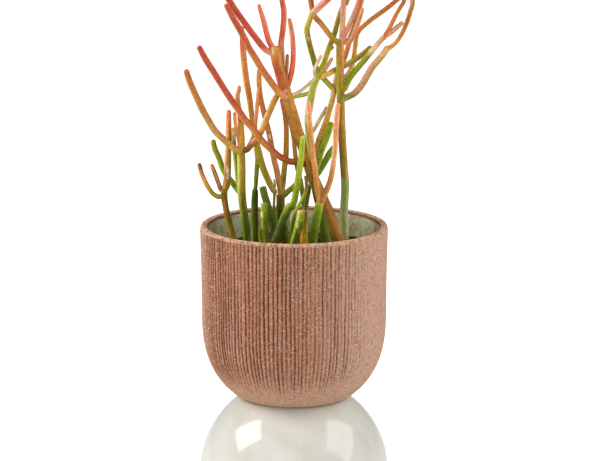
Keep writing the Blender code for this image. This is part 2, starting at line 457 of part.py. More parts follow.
def build_pot():
    bm = bmesh.new()
    fine = 2 * RIDGE_COUNT
    wall_depths = [RIDGE_TOP_DEPTH, RIDGE_TOP_DEPTH + RIDGE_FADE, 0.080, 0.103, 0.120, 0.133, 0.142,
                   RIDGE_BOTTOM_DEPTH - RIDGE_FADE, RIDGE_BOTTOM_DEPTH,
                   POT_HEIGHT - POT_FOOT_ROUNDING]
    foot = ring(bm, pot_radius(POT_HEIGHT) - POT_FOOT_ROUNDING, 0.0, POT_SIDES)
    bm.faces.new(foot)
    rings = [foot]
    for depth in reversed(wall_depths):
        rings.append(ring(bm, pot_radius(depth), POT_HEIGHT - depth, fine, depth))
    lip_centre = POT_RIM_RADIUS - LIP_ROUND
    for step in range(5):
        angle = math.radians(10 + 40 * step)
        reach = lip_centre + LIP_ROUND * math.cos(angle)
        if step > 1:
            reach = lip_centre + (POT_WALL - LIP_ROUND) * math.cos(angle)
        rings.append(ring(bm, reach, POT_HEIGHT - LIP_ROUND * (1 - math.sin(angle)), POT_SIDES))
    floor_depth = POT_HEIGHT - POT_FLOOR
    for depth in (0.006, 0.080, 0.103, 0.120, 0.133, 0.142):
        rings.append(ring(bm, inner_radius(depth), POT_HEIGHT - depth, POT_SIDES))
    rings.append(ring(bm, inner_radius(floor_depth) - 0.002, POT_FLOOR, POT_SIDES))
    for lower, upper in zip(rings, rings[1:]):
        skin(bm, lower, upper)
    bm.faces.new(rings[-1])
    pot = make_object("pot", finish_mesh("pot", bm), POT_BASE_HEIGHT)
    give_material(pot, (0.40, 0.22, 0.14), 0.85)


# Soil, with a plain hole for every root
def root_places():
    for name, stem in STEMS.items():
        x, y, _, radius = stem["shoots"][0][0]
        yield name, Vector((x, y)) * MM, radius * MM


def build_soil():
    bm = bmesh.new()
    bottom = POT_FLOOR + TOUCH_GAP
    rings = []
    for depth in (POT_HEIGHT - bottom, 0.142, 0.133, 0.120, 0.103, 0.080, SOIL_DEPTH):
        shrink = 0.0025 if depth > 0.148 else 0.0006
        rings.append(ring(bm, inner_radius(depth) - shrink, POT_HEIGHT - depth, POT_SIDES))
    bm.faces.new(rings[0])
    for share in (0.72, 0.40):
        inside = ring(bm, inner_radius(SOIL_DEPTH) * share, POT_HEIGHT - SOIL_DEPTH, POT_SIDES)
        for vert in inside:
            swell = math.sin(95 * vert.co.x + 1.0) * math.cos(120 * vert.co.y)
            vert.co.z += SOIL_HUMMOCK * swell
        rings.append(inside)
    for lower, upper in zip(rings, rings[1:]):
        skin(bm, lower, upper)
    bm.faces.new(rings[-1])
    bmesh.ops.triangulate(bm, faces=[face for face in bm.faces if len(face.verts) > 4])
    soil = make_object("soil", finish_mesh("soil", bm), POT_BASE_HEIGHT)
    drills = []
    for name, place, radius in root_places():
        drill_mesh = bpy.data.meshes.new(name + "_hole")
        bm = bmesh.new()
        length = ROOT_DEPTH + TOUCH_GAP
        reach = (radius + ROOT_CLEARANCE) / math.cos(math.pi / HOLE_SIDES)
        bmesh.ops.create_cone(bm, cap_ends=True, segments=HOLE_SIDES, radius1=reach, radius2=reach,
                              depth=length)
        bm.to_mesh(drill_mesh)
        bm.free()
        drill = bpy.data.objects.new(name + "_hole", drill_mesh)
        bpy.context.scene.collection.objects.link(drill)
        drill.location = (place.x, place.y, RIM_HEIGHT - length / 2)
        drills.append(drill)
    apply_boolean(soil, drills, "DIFFERENCE")
    give_material(soil, (0.07, 0.05, 0.035), 0.95)


# Stems
def smooth_route(points):
    """Samples a smooth curve through the route's own points; each sample is (place, radius)."""
    knots = [Vector(point) * MM for point in points]
    ends = [2 * knots[0] - knots[1], *knots, 2 * knots[-1] - knots[-2]]
    samples = []
    for before, start, stop, after in zip(ends, ends[1:], ends[2:], ends[3:]):
        for step in range(SMOOTH_STEPS):
            t = step / SMOOTH_STEPS
            pull = (stop - before) * t
            bend = (2 * before - 5 * start + 4 * stop - after) * t * t
            twist = (3 * start - before - 3 * stop + after) * t * t * t
            samples.append(start + 0.5 * (pull + bend + twist))
    samples.append(knots[-1])
    return [(Vector(sample[:3]), sample[3]) for sample in samples]


def pick_stations(samples):
    """Keeps a ring where the route has turned, run on or thinned enough since the last one."""
    stations = [samples[0]]
    last_way = (samples[1][0] - samples[0][0]).normalized()
    for (place, radius), (after, _) in zip(samples[1:], samples[2:]):
        way = (after - place).normalized()
        run = (place - stations[-1][0]).length
        turned = way.angle(last_way) > TURN_PER_RING
        thinned = abs(radius / stations[-1][1] - 1.0) > THINNING_PER_RING
        if run > LONGEST_RUN or (run > radius and (turned or thinned)):
            stations.append((place, radius))
            last_way = way
    stations.append(samples[-1])
    return stations


def cut_back(samples, amount):
    """Shortens a route at its tip, to leave room for the rounded end."""
    kept = list(samples)
    while len(kept) > 3 and (kept[-2][0] - samples[-1][0]).length < amount:
        kept.pop()
    tip, radius = samples[-1]
    way = (tip - kept[-2][0]).normalized()
    kept[-1] = (tip - way * amount, radius)
    return kept, way


def tube_mesh(name, points, rooted):
    samples = smooth_route(points)
    tip_radius = samples[-1][1]
    roundness = 0.45 if tip_radius > BLUNT_FROM_RADIUS else 1.0
    samples, tip_way = cut_back(samples, tip_radius * roundness)
    stations = pick_stations(samples)
    places = [place for place, _ in stations]
    radii = [radius for _, radius in stations]
    ways = []
    for index in range(len(places)):
        ways.append((places[min(index + 1, len(places) - 1)] - places[max(index - 1, 0)]).normalized())
    if rooted:
        foot = places[0]
        for depth in (ROOT_COLLAR, ROOT_DEPTH):
            places.insert(0, Vector((foot.x, foot.y, -depth)))
            radii.insert(0, radii[0])
            ways.insert(0, Vector((0, 0, 1)))
    places.append(places[-1] + tip_way * tip_radius * roundness * 0.62)
    radii.append(tip_radius * 0.78)
    ways.append(tip_way)
    sides = THICK_SIDES if max(radii) > THICK_FROM_RADIUS else THIN_SIDES
    bm = bmesh.new()
    across = ways[0].cross(Vector((0, 1, 0))).normalized()
    rings = []
    for place, radius, way in zip(places, radii, ways):
        across = (across - way * across.dot(way)).normalized()
        beside = way.cross(across)
        loop = []
        for side in range(sides):
            angle = math.tau * side / sides
            loop.append(bm.verts.new(place + radius * (across * math.cos(angle) + beside * math.sin(angle))))
        rings.append(loop)
    for lower, upper in zip(rings, rings[1:]):
        skin(bm, lower, upper)
    bm.faces.new(rings[0])
    tip = bm.verts.new(samples[-1][0] + tip_way * tip_radius * roundness)
    for side in range(sides):
        bm.faces.new((rings[-1][side], rings[-1][(side + 1) % sides], tip))
    return finish_mesh(name, bm)


def build_stem(name, stem):
    pieces = []
    for number, points in enumerate(stem["shoots"]):
        mesh = tube_mesh(f"{name}_{number}", points, rooted=number == 0)
        piece = bpy.data.objects.new(mesh.name, mesh)
        bpy.context.scene.collection.objects.link(piece)
        piece.location.z = RIM_HEIGHT
        pieces.append(piece)
    trunk, shoots = pieces[0], pieces[1:]
    if shoots:
        apply_boolean(trunk, shoots, "UNION")
    trunk.name = name
    trunk.data.name = name
    trunk.data.shade_smooth()
    trunk.data.set_sharp_from_angle(angle=math.radians(50))
    give_material(trunk, stem["colour"], 0.5)


def main():
    clear_scene()
    build_ball_stand()
    build_pot()
    build_soil()
    for name, stem in STEMS.items():
        build_stem(name, stem)


main()
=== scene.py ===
# %% [markdown]
# # A pencil-stem succulent in a combed clay pot
#
# This lesson dresses a set of plain solids: a glazed ball that carries a clay cup, the soil in it, and
# fifteen rooted stems. The solids give every size and place. The cells below give each surface the fine
# shape, the colour and the finish that the real thing has. Lengths are in metres, +Z is up, the front is
# -Y, and the origin is the middle of the ball's foot.

import math
import random

import bmesh
import bpy
import numpy as np
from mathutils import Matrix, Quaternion, Vector, noise


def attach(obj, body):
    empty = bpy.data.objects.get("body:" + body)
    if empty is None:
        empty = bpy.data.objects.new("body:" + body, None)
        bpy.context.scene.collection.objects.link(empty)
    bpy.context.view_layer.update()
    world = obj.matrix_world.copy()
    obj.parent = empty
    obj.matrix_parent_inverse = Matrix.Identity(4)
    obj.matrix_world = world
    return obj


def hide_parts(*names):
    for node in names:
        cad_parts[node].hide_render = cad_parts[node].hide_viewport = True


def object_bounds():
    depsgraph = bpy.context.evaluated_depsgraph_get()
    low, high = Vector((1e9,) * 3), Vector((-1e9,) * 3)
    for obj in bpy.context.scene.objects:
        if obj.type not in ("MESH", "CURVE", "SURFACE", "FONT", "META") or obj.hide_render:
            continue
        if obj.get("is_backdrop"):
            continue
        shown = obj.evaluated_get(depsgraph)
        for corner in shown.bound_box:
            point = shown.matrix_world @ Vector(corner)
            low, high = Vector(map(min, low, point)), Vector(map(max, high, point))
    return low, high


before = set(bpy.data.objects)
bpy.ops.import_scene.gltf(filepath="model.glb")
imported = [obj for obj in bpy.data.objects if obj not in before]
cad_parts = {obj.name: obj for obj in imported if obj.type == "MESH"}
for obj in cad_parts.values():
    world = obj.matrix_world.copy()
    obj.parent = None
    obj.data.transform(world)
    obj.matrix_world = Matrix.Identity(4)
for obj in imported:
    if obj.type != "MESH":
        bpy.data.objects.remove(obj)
solid_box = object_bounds()
MM = 0.001
print("solids:", len(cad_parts), "height in mm:", round(solid_box[1].z / MM, 1))

# %% [markdown]
# ## The camera
#
# The pot's rim shows as a flat oval, 186 pixels wide and 40 high, so the camera looks down on it by about
# twelve degrees. The sides of the pot hardly converge, so it stands far back with a long lens. A lens of
# 200 mm at three metres gives both. The rim's middle is a little left of the picture's middle, so the
# camera aims a few millimetres to its right.

# %% Place the camera
RIM_HEIGHT = 0.2853
CAMERA_DISTANCE = 3.0
CAMERA_PITCH = math.radians(12.2)
LENS = 200.0
AIM_RIGHT = 0.0054
AIM_BELOW_RIM = 0.0057
AIM = Vector((AIM_RIGHT, 0.0, RIM_HEIGHT - AIM_BELOW_RIM))


def add(name, data):
    """Puts a new thing in the scene."""
    thing = bpy.data.objects.new(name, data)
    bpy.context.scene.collection.objects.link(thing)
    return thing


camera = add("camera", bpy.data.cameras.new("camera"))
camera.data.lens = LENS
camera.location = (0.0, -CAMERA_DISTANCE * math.cos(CAMERA_PITCH),
                   RIM_HEIGHT + CAMERA_DISTANCE * math.sin(CAMERA_PITCH))
camera.rotation_euler = (AIM - camera.location).to_track_quat("-Z", "Y").to_euler()
bpy.context.scene.camera = camera
print("camera is", round((AIM - camera.location).length, 2), "m from the pot")

# %% [markdown]
# ## Studio light
#
# A product shot on white has light from all sides. Two large soft boxes, the left one stronger, leave the
# two reflections on the ball and brighten both sides of the pot, while its middle stays darker. A weak box
# in front fills the shade. Colours are shown without a film look, so that they stay as mixed.

# %% Set the lights
MIDDLE = Vector((0.0, 0.0, 0.28))
SKY_LIGHT = 0.44


def soft_box(name, place, size, power, roll=0.0):
    """A soft box aimed at the plant; roll turns it about its own axis, in degrees."""
    light = bpy.data.lights.new(name, "AREA")
    light.shape = "RECTANGLE"
    light.size, light.size_y = size
    light.energy = power
    lamp = add(name, light)
    lamp.location = place
    aim = (MIDDLE - lamp.location).to_track_quat("-Z", "Y")
    lamp.rotation_euler = (aim @ Quaternion((0.0, 0.0, 1.0), math.radians(roll))).to_euler()


soft_box("left_box", (-1.15, -0.15, 1.05), (0.80, 0.72), 16.0, roll=62)
soft_box("right_box", (1.2, -0.25, 1.0), (1.15, 0.90), 11.0, roll=35)
soft_box("front_fill", (-0.3, -1.9, 0.9), (1.4, 1.0), 6.0)

world = bpy.data.worlds.new("studio")
world.use_nodes = True
world.node_tree.nodes["Background"].inputs["Color"].default_value = (1.0, 1.0, 1.0, 1.0)
world.node_tree.nodes["Background"].inputs["Strength"].default_value = SKY_LIGHT
bpy.context.scene.world = world
bpy.context.scene.view_settings.view_transform = "Standard"

# %% [markdown]
# ## Writing materials as sums
#
# A material is a small calculation for every point of a surface, and reads best as one. `Finish` makes a
# material and adds nodes to it with one method. `Wire` is one socket of a node, and a sum on wires adds the
# Math nodes for it. Colours never go through Math nodes, which would turn them grey: they are mixed.

# %% The material helpers
class Wire:
    """A number that changes over the surface."""

    def __init__(self, finish, socket):
        self.finish = finish
        self.socket = socket

    def sum(self, operation, *numbers):
        return self.finish.node("ShaderNodeMath", {"operation": operation}, dict(enumerate(numbers)))

    def __add__(self, other):
        return self.sum("ADD", self, other)

    def __radd__(self, other):
        return self.sum("ADD", other, self)

    def __sub__(self, other):
        return self.sum("SUBTRACT", self, other)

    def __rsub__(self, other):
        return self.sum("SUBTRACT", other, self)

    def __mul__(self, other):
        return self.sum("MULTIPLY", self, other)

    def __rmul__(self, other):
        return self.sum("MULTIPLY", other, self)

    def over(self, low, high):
        """0 below low, 1 above high and a smooth rise between them; 1 and 2 are the node's From sockets."""
        settings = {"interpolation_type": "SMOOTHSTEP"}
        return self.finish.node("ShaderNodeMapRange", settings, {"Value": self, 1: low, 2: high})


class Finish:
    """A material, with its nodes added one method call at a time."""

    def __init__(self, name, roughness, **plain):
        self.material = bpy.data.materials.new(name)
        self.material.use_nodes = True
        self.tree = self.material.node_tree
        self.shader = self.tree.nodes["Principled BSDF"]
        self.set("Roughness", roughness)
        for socket, value in plain.items():
            self.set(socket.replace("_", " "), value)

    def join(self, socket, value):
        if isinstance(value, Wire):
            self.tree.links.new(value.socket, socket)
        else:
            socket.default_value = value

    def set(self, name, value):
        self.join(self.shader.inputs[name], value)

    def node(self, kind, settings=None, values=None, out=0):
        made = self.tree.nodes.new(kind)
        for name, setting in (settings or {}).items():
            setattr(made, name, setting)
        for name, value in (values or {}).items():
            self.join(made.inputs[name], value)
        return Wire(self, made.outputs[out])

    def mix(self, first, second, share):
        """Mixes two colours by a share from 0 to 1; 6, 7 and out=2 are the node's colour sockets."""
        settings = {"data_type": "RGBA", "clamp_factor": True}
        return self.node("ShaderNodeMix", settings, {0: share, 6: first, 7: second}, out=2)

    def place(self):
        return self.node("ShaderNodeTexCoord", out="Object")

    def axis(self, name):
        return self.node("ShaderNodeSeparateXYZ", {}, {"Vector": self.place()}, out=name)

    def grain(self, size, where=None, stretch=(1.0, 1.0, 1.0), detail=3.0, rough=0.55):
        """Cloudy noise from 0 to 1, with lumps of about the given size in metres."""
        where = where or self.place()
        scale = tuple(1.0 / (size * part) for part in stretch)
        where = self.node("ShaderNodeVectorMath", {"operation": "MULTIPLY"}, {0: where, 1: scale})
        return self.node("ShaderNodeTexNoise", {}, {"Vector": where, "Scale": 1.0, "Detail": detail,
                                                    "Roughness": rough})

    def specks(self, size, seed=0.0):
        """How near each place is to the middle of a grain: 1 in the middle and 0 half a grain away."""
        scale = (1.0 / size,) * 3
        where = self.node("ShaderNodeVectorMath", {"operation": "MULTIPLY_ADD"},
                          {0: self.place(), 1: scale, 2: (seed, seed, seed)})
        return 1.0 - 2.0 * self.node("ShaderNodeTexVoronoi", {}, {"Vector": where, "Scale": 1.0})

    def attribute(self, name, out="Fac"):
        return self.node("ShaderNodeAttribute", {"attribute_name": name}, out=out)

    def bump(self, height, depth):
        """Shades the surface as if it rose by depth metres where height is 1."""
        self.set("Normal", self.node("ShaderNodeBump", {}, {"Height": height, "Distance": depth}))


def paint(red, green, blue):
    """A colour as a paint maker writes it, from 0 to 255, turned into linear light."""
    parts = [value / 255 for value in (red, green, blue)]
    return (*[part / 12.92 if part <= 0.04045 else ((part + 0.055) / 1.055) ** 2.4 for part in parts], 1.0)


print("white paint is", paint(255, 255, 255))

# %% [markdown]
# ## The floor
#
# A white studio floor meets the background with no line. A plain white plane would either look grey to the
# camera or throw too much light at the pot's underside. So the floor glows faintly, as a lit white table
# does, and its glow has two strengths: it is paper white to the camera and sends less than half of that
# light up.

# %% Lay the floor
FLOOR_SIDE = 15
FLOOR_BACK = 25

floor_mesh = bpy.data.meshes.new("floor")
floor_mesh.from_pydata([(-FLOOR_SIDE, -FLOOR_SIDE, 0), (FLOOR_SIDE, -FLOOR_SIDE, 0),
                        (FLOOR_SIDE, FLOOR_BACK, 0), (-FLOOR_SIDE, FLOOR_BACK, 0)], [], [(0, 1, 2, 3)])
floor = add("floor", floor_mesh)
floor_paint = Finish("floor", 0.9, Specular_IOR_Level=0.1)
floor_paint.set("Base Color", (0.55, 0.55, 0.55, 1.0))
seen = floor_paint.node("ShaderNodeLightPath")
floor_paint.set("Emission Color", floor_paint.mix((0.40, 0.40, 0.38, 1.0), (0.92, 0.92, 0.92, 1.0), seen))
floor_paint.set("Emission Strength", 1.0)
floor_mesh.materials.append(floor_paint.material)
floor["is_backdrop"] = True
print("floor is", 2 * FLOOR_SIDE, "m wide")

# %% [markdown]
# ## Turned shapes
#
# The ball and the pot are both round, as a wheel or a mould leaves them. A turned shape is an outline of
# radius and height, run round the axis. Points are placed by a formula, so that the pot can later move each
# one in or out for its comb marks. Building the grid of faces directly keeps every row of points known,
# which Blender's Screw modifier would hide.

# %% Turn an outline
def turned(name, outline, columns, shift=None):
    """Turns an outline of (radius, height) points; shift(angle, row) adds to a point's radius."""
    angles = np.arange(columns) * math.tau / columns
    rows = []
    for row, (radius, height) in enumerate(outline):
        reach = radius + (shift(angles, row) if shift else 0.0) + 0 * angles
        rows.append(np.column_stack([reach * np.cos(angles), reach * np.sin(angles), height + 0 * angles]))
    corners = np.concatenate(rows)
    side = np.arange(columns)
    after = (side + 1) % columns
    quads = []
    for row in range(len(outline) - 1):
        low, high = row * columns, (row + 1) * columns
        quads.append(np.column_stack([low + side, low + after, high + after, high + side]))
    faces = np.concatenate(quads).tolist()
    faces.append(list(range(columns))[::-1])
    faces.append(list(range((len(outline) - 1) * columns, len(outline) * columns)))
    mesh = bpy.data.meshes.new(name)
    mesh.from_pydata(corners.tolist(), [], faces)
    mesh.shade_smooth()
    return add(name, mesh)


def store(mesh, name, values):
    """Keeps one number for each point of a mesh, for its material to read."""
    mesh.attributes.new(name, "FLOAT", "POINT").data.foreach_set("value", np.asarray(values, np.float32))


print("helpers made:", turned.__name__, "and", store.__name__)

# %% [markdown]
# ## The glazed ball
#
# The stand is a hollow slip-cast ball with a flat foot and a flat top. Its glaze is milky white with a
# breath of green, so thick and wet-looking that it mirrors the lights. A glaze is clay colour under glass:
# one Principled shader with low roughness and a coat does it. The coat has a tint, so the ball darkens a
# little where the eye looks through more of it, near the edges. Faint clouds in the colour, a few brown
# pinholes and a very shallow bump keep the reflections from being computer-perfect.

# %% Shape the ball
# The hub is the small radius at which an outline starts and ends. The edge width and the edge angle are the
# same rounding of the foot and the top, once along the flat and once round the ball.
HUB = 0.0005
BALL_RADIUS = 0.0858
BALL_CENTRE = 0.0555
BALL_TOP = 0.128
BALL_WALL = 0.006
BALL_MOUTH = 0.030
EDGE_WIDTH = 0.002
EDGE_ANGLE = 0.022
MOUTH_ROUND = 0.0015
OUTER_STEPS = 60
INNER_STEPS = 24
BALL_COLUMNS = 160


def ball_outline():
    """The ball's section from the middle of its foot, up the outside, over the top and down the inside."""
    foot = math.asin(-BALL_CENTRE / BALL_RADIUS)
    top = math.asin((BALL_TOP - BALL_CENTRE) / BALL_RADIUS)
    hollow = BALL_RADIUS - BALL_WALL
    roof = math.asin((BALL_TOP - BALL_WALL - BALL_CENTRE) / hollow)
    base = math.asin((BALL_WALL - BALL_CENTRE) / hollow)
    points = [(HUB, 0.0), (BALL_RADIUS * math.cos(foot) - EDGE_WIDTH, 0.0)]
    for step in range(OUTER_STEPS + 1):
        angle = foot + EDGE_ANGLE + (top - foot - 2 * EDGE_ANGLE) * step / OUTER_STEPS
        points.append((BALL_RADIUS * math.cos(angle), BALL_CENTRE + BALL_RADIUS * math.sin(angle)))
    points += [(BALL_RADIUS * math.cos(top) - EDGE_WIDTH, BALL_TOP), (BALL_MOUTH + MOUTH_ROUND, BALL_TOP),
               (BALL_MOUTH, BALL_TOP - MOUTH_ROUND), (BALL_MOUTH, BALL_TOP - BALL_WALL)]
    for step in range(INNER_STEPS + 1):
        angle = roof + (base - roof) * step / INNER_STEPS
        points.append((hollow * math.cos(angle), BALL_CENTRE + hollow * math.sin(angle)))
    return points + [(HUB, BALL_WALL)]


ball = turned("glazed_ball", ball_outline(), BALL_COLUMNS)
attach(ball, "root")
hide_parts("ball_stand")
print("ball faces:", len(ball.data.polygons))

# %% Glaze the ball
glaze = Finish("milk_glaze", 0.12, Coat_Weight=0.6, Coat_Roughness=0.07, IOR=1.32,
               Coat_Tint=(0.66, 0.67, 0.64, 1.0))
milk = paint(238, 235, 226)
celadon = paint(216, 216, 202)
clouds = glaze.grain(0.030, detail=4.0)
pools = glaze.grain(0.0022, detail=2.0)
colour = glaze.mix(milk, celadon, clouds.over(0.40, 0.70) * 0.6)
pinholes = glaze.grain(0.0016, detail=1.0).over(0.77, 0.81)
colour = glaze.mix(colour, paint(150, 120, 88), pinholes * 0.5)
glaze.set("Base Color", colour)
glaze.set("Roughness", 0.15 + clouds * 0.08)
glaze.bump(clouds * 0.7 + pools * 0.06, 0.0006)
ball.data.materials.append(glaze.material)
print("glaze nodes:", len(glaze.tree.nodes))

# %% [markdown]
# ## The pot
#
# The cup is thrown or cast in brick-red stoneware, and combed from lip to foot while it was leather-hard.
# Each tooth of the comb cuts a narrow groove and throws up a rounded ridge, but the hand shakes, so no two
# ridges are alike: they lie 3 to 4 mm apart and wander a little. The lip is wiped smooth, the outside
# is bare, and the inside has a pale sage glaze. A picture of grooves would look flat at the edges, so they
# are real geometry here: the outline of the pot is moved in and out by the distance to the nearest groove.

# %% Sizes of the pot
# Depths are measured down from the lip. The foot's edge has two points, each so far inward and so far up.
POT_BASE = 0.1283
POT_HEIGHT = 0.157
POT_RIM = 0.0843
POT_BELLY = 0.0829
SHOULDER_DEPTH = 0.080
BOWL_DEPTH = 0.093
BOWL_POWER = 2.6
POT_WALL = 0.0072
POT_FLOOR = 0.008
LIP_ROUND = 0.0024
LIP_STEP = 15
FLOOR_ROUND = 0.004
FLOOR_EDGE_DEPTH = 0.147
FOOT_RADIUS = 0.030
FOOT_ROUND = 0.0016
FOOT_EDGE = ((0.0022, 0.0), (0.0009, 0.0004))
WALL_ROWS = 45
ROWS_TOWARD_LIP = 1.35
INNER_ROWS = 14


def pot_radius(depth):
    """The outer radius at a depth below the lip: a hardly flared wall, then a rounded bowl."""
    if depth < SHOULDER_DEPTH:
        rise = 1.0 - depth / SHOULDER_DEPTH
        return POT_BELLY + (POT_RIM - POT_BELLY) * rise * rise
    fall = (depth - SHOULDER_DEPTH) / BOWL_DEPTH
    return POT_BELLY * math.sqrt(1.0 - fall ** BOWL_POWER)


def inner_radius(depth):
    """The radius inside the wall, which follows the outside at the wall's thickness."""
    slope = (pot_radius(depth + MM) - pot_radius(depth)) / MM
    return pot_radius(depth) - POT_WALL * math.hypot(1.0, slope)


def pot_outline():
    """The pot's section from the middle of its foot, up the outside, over the lip and down the inside."""
    points = [(HUB, 0.0), (FOOT_RADIUS, 0.0)]
    points += [(pot_radius(POT_HEIGHT) - inward, height) for inward, height in FOOT_EDGE]
    points.append((pot_radius(POT_HEIGHT - FOOT_ROUND), FOOT_ROUND))
    for step in range(1, WALL_ROWS + 1):
        share = (1.0 - step / WALL_ROWS) ** ROWS_TOWARD_LIP
        depth = LIP_ROUND + (POT_HEIGHT - FOOT_ROUND - LIP_ROUND) * share
        points.append((pot_radius(depth), POT_HEIGHT - depth))
    middle = POT_RIM - LIP_ROUND
    for degrees in range(LIP_STEP, 180, LIP_STEP):
        angle = math.radians(degrees)
        wide = LIP_ROUND if degrees < 90 else POT_WALL - LIP_ROUND
        points.append((middle + wide * math.cos(angle), POT_HEIGHT - LIP_ROUND * (1 - math.sin(angle))))
    for step in range(1, INNER_ROWS + 1):
        depth = LIP_ROUND + (POT_HEIGHT - POT_FLOOR - FLOOR_ROUND - LIP_ROUND) * step / INNER_ROWS
        points.append((inner_radius(depth), POT_HEIGHT - depth))
    return points + [(inner_radius(FLOOR_EDGE_DEPTH) - FLOOR_ROUND, POT_FLOOR), (HUB, POT_FLOOR)]


print("pot is", round(2 * POT_RIM / MM, 1), "mm wide and", round(POT_HEIGHT / MM, 1), "mm high")

# %% Comb the outside
# A spread is how unevenly the grooves start or end, and a fade is the length over which they deepen or run
# out. The comb's touch changes in waves round the pot, and the rest in waves down it, counted per metre.
# The wander is in radians.
COMB_SEED = 41
TOOTH_DEPTH = (0.62, 0.94)
GROOVE_PITCH = (0.0032, 0.0043)
GROOVE_DEPTH = 0.0015
GROOVE_HALF_WIDTH = 0.0016
GROOVE_TOP = 0.0016
GROOVE_END = 0.151
TOP_SPREAD, TOP_FADE = 0.0010, 0.0016
END_SPREAD, END_FADE = 0.006, 0.022
RIDGE_LIFT = 0.0005
RIDGE_TOP_FADE, RIDGE_END_FADE = 0.003, 0.006
SMOOTH_SIDE = math.radians(338)
SMOOTH_REACH = math.radians(38)
FIRM_START, FIRM_WIDTH = 0.40 * SMOOTH_REACH, 0.75 * SMOOTH_REACH
LIGHTEST_TOUCH = 0.24
USUAL_TOUCH, UNEVEN_TOUCH, LEFT_TOUCH = 0.82, 0.12, 0.40
TOUCH_WAVES = 7.0
SLOW_WANDER, SLOW_WAVES = 0.0030, 38.0
QUICK_WANDER, QUICK_WAVES = 0.002, 90.0
PRESS_CHANGE, PRESS_WAVES = 0.15, 55.0


def ease(value):
    """0 up to 0, 1 from 1 on and a smooth rise between them."""
    value = np.clip(value, 0.0, 1.0)
    return value * value * (3 - 2 * value)


def comb_teeth():
    """The grooves, spaced as an unsteady hand spaces them: angle, depth, phase and start of each."""
    pick = random.Random(COMB_SEED)
    angle, teeth = 0.0, []
    while angle < math.tau:
        deep, phase, late = pick.uniform(*TOOTH_DEPTH), pick.uniform(0.0, math.tau), pick.uniform(0.0, 1.0)
        teeth.append((angle, deep, phase, late))
        angle += pick.uniform(*GROOVE_PITCH) / POT_RIM
    stretch = math.tau / angle
    return [(angle * stretch, deep, phase, late) for angle, deep, phase, late in teeth]


TEETH = comb_teeth()
TOOTH_ANGLES, TOOTH_DEPTHS, TOOTH_PHASES, TOOTH_STARTS = np.array(TEETH).T


def comb_pressure(angles):
    """The comb hardly touched the pot's right side, and pressed hardest on its left."""
    apart = np.abs((angles - SMOOTH_SIDE + math.pi) % math.tau - math.pi)
    firm = np.clip((apart - FIRM_START) / FIRM_WIDTH, 0.0, 1.0)
    left = np.clip(-np.cos(angles), 0.0, 1.0)
    touch = USUAL_TOUCH + UNEVEN_TOUCH * np.sin(TOUCH_WAVES * angles + 1.0) + LEFT_TOUCH * left
    return (LIGHTEST_TOUCH + (1.0 - LIGHTEST_TOUCH) * firm) * touch


def groove_depth(angles, depth):
    """How deep the comb has cut at each angle and one depth: 0 on a ridge and 1 in the deepest groove."""
    wander = SLOW_WANDER * np.sin(TOOTH_PHASES + SLOW_WAVES * depth)
    wander = wander + QUICK_WANDER * np.sin(2.3 * TOOTH_PHASES + QUICK_WAVES * depth)
    places = TOOTH_ANGLES + wander
    apart = (angles[:, None] - places[None, :] + math.pi) % math.tau - math.pi
    nearest = np.abs(apart).argmin(axis=1)
    away = np.abs(apart[np.arange(len(angles)), nearest]) * POT_RIM / GROOVE_HALF_WIDTH
    late = TOOTH_STARTS[nearest]
    begins = np.clip((depth - GROOVE_TOP - TOP_SPREAD * late) / TOP_FADE, 0.0, 1.0)
    ends = np.clip((GROOVE_END - END_SPREAD * late - depth) / END_FADE, 0.0, 1.0)
    pressure = 1.0 - PRESS_CHANGE + PRESS_CHANGE * np.sin(TOOTH_PHASES[nearest] * 1.7 + PRESS_WAVES * depth)
    return ease(1.0 - away) * TOOTH_DEPTHS[nearest] * begins * ends * pressure * comb_pressure(angles)


# The outline starts with four points of the foot; the rows from there to the lip are the wall.
POT_OUTLINE = pot_outline()
POT_ROWS = range(len(POT_OUTLINE))
FIRST_WALL_ROW = 4
LAST_WALL_ROW = FIRST_WALL_ROW + WALL_ROWS
POT_COLUMNS = 1240


def cut_at(angles, row):
    """How deep the comb has cut in one row of the outline, which is nothing away from the outer wall."""
    if FIRST_WALL_ROW <= row <= LAST_WALL_ROW:
        return groove_depth(angles, POT_HEIGHT - POT_OUTLINE[row][1])
    return 0.0 * angles


def comb(angles, row):
    """How far the comb moves each point of one row: out on a ridge and in in a groove."""
    if not FIRST_WALL_ROW <= row <= LAST_WALL_ROW:
        return 0.0 * angles
    depth = POT_HEIGHT - POT_OUTLINE[row][1]
    fade = min(1.0, max(0.0, (depth - GROOVE_TOP) / RIDGE_TOP_FADE),
               max(0.0, (GROOVE_END - depth) / RIDGE_END_FADE))
    return RIDGE_LIFT * fade - GROOVE_DEPTH * cut_at(angles, row)


def section_share(row):
    """How far a row lies along the pot's section, from 0 to 1."""
    return row / (len(POT_OUTLINE) - 1)


pot = turned("combed_pot", POT_OUTLINE, POT_COLUMNS, comb)
pot.location.z = POT_BASE
all_angles = np.arange(POT_COLUMNS) * math.tau / POT_COLUMNS
store(pot.data, "cut", np.concatenate([cut_at(all_angles, row) for row in POT_ROWS]))
store(pot.data, "section", np.concatenate([np.full(POT_COLUMNS, section_share(row)) for row in POT_ROWS]))
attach(pot, "root")
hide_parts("pot")
print("grooves:", len(TEETH), "pot faces:", len(pot.data.polygons))
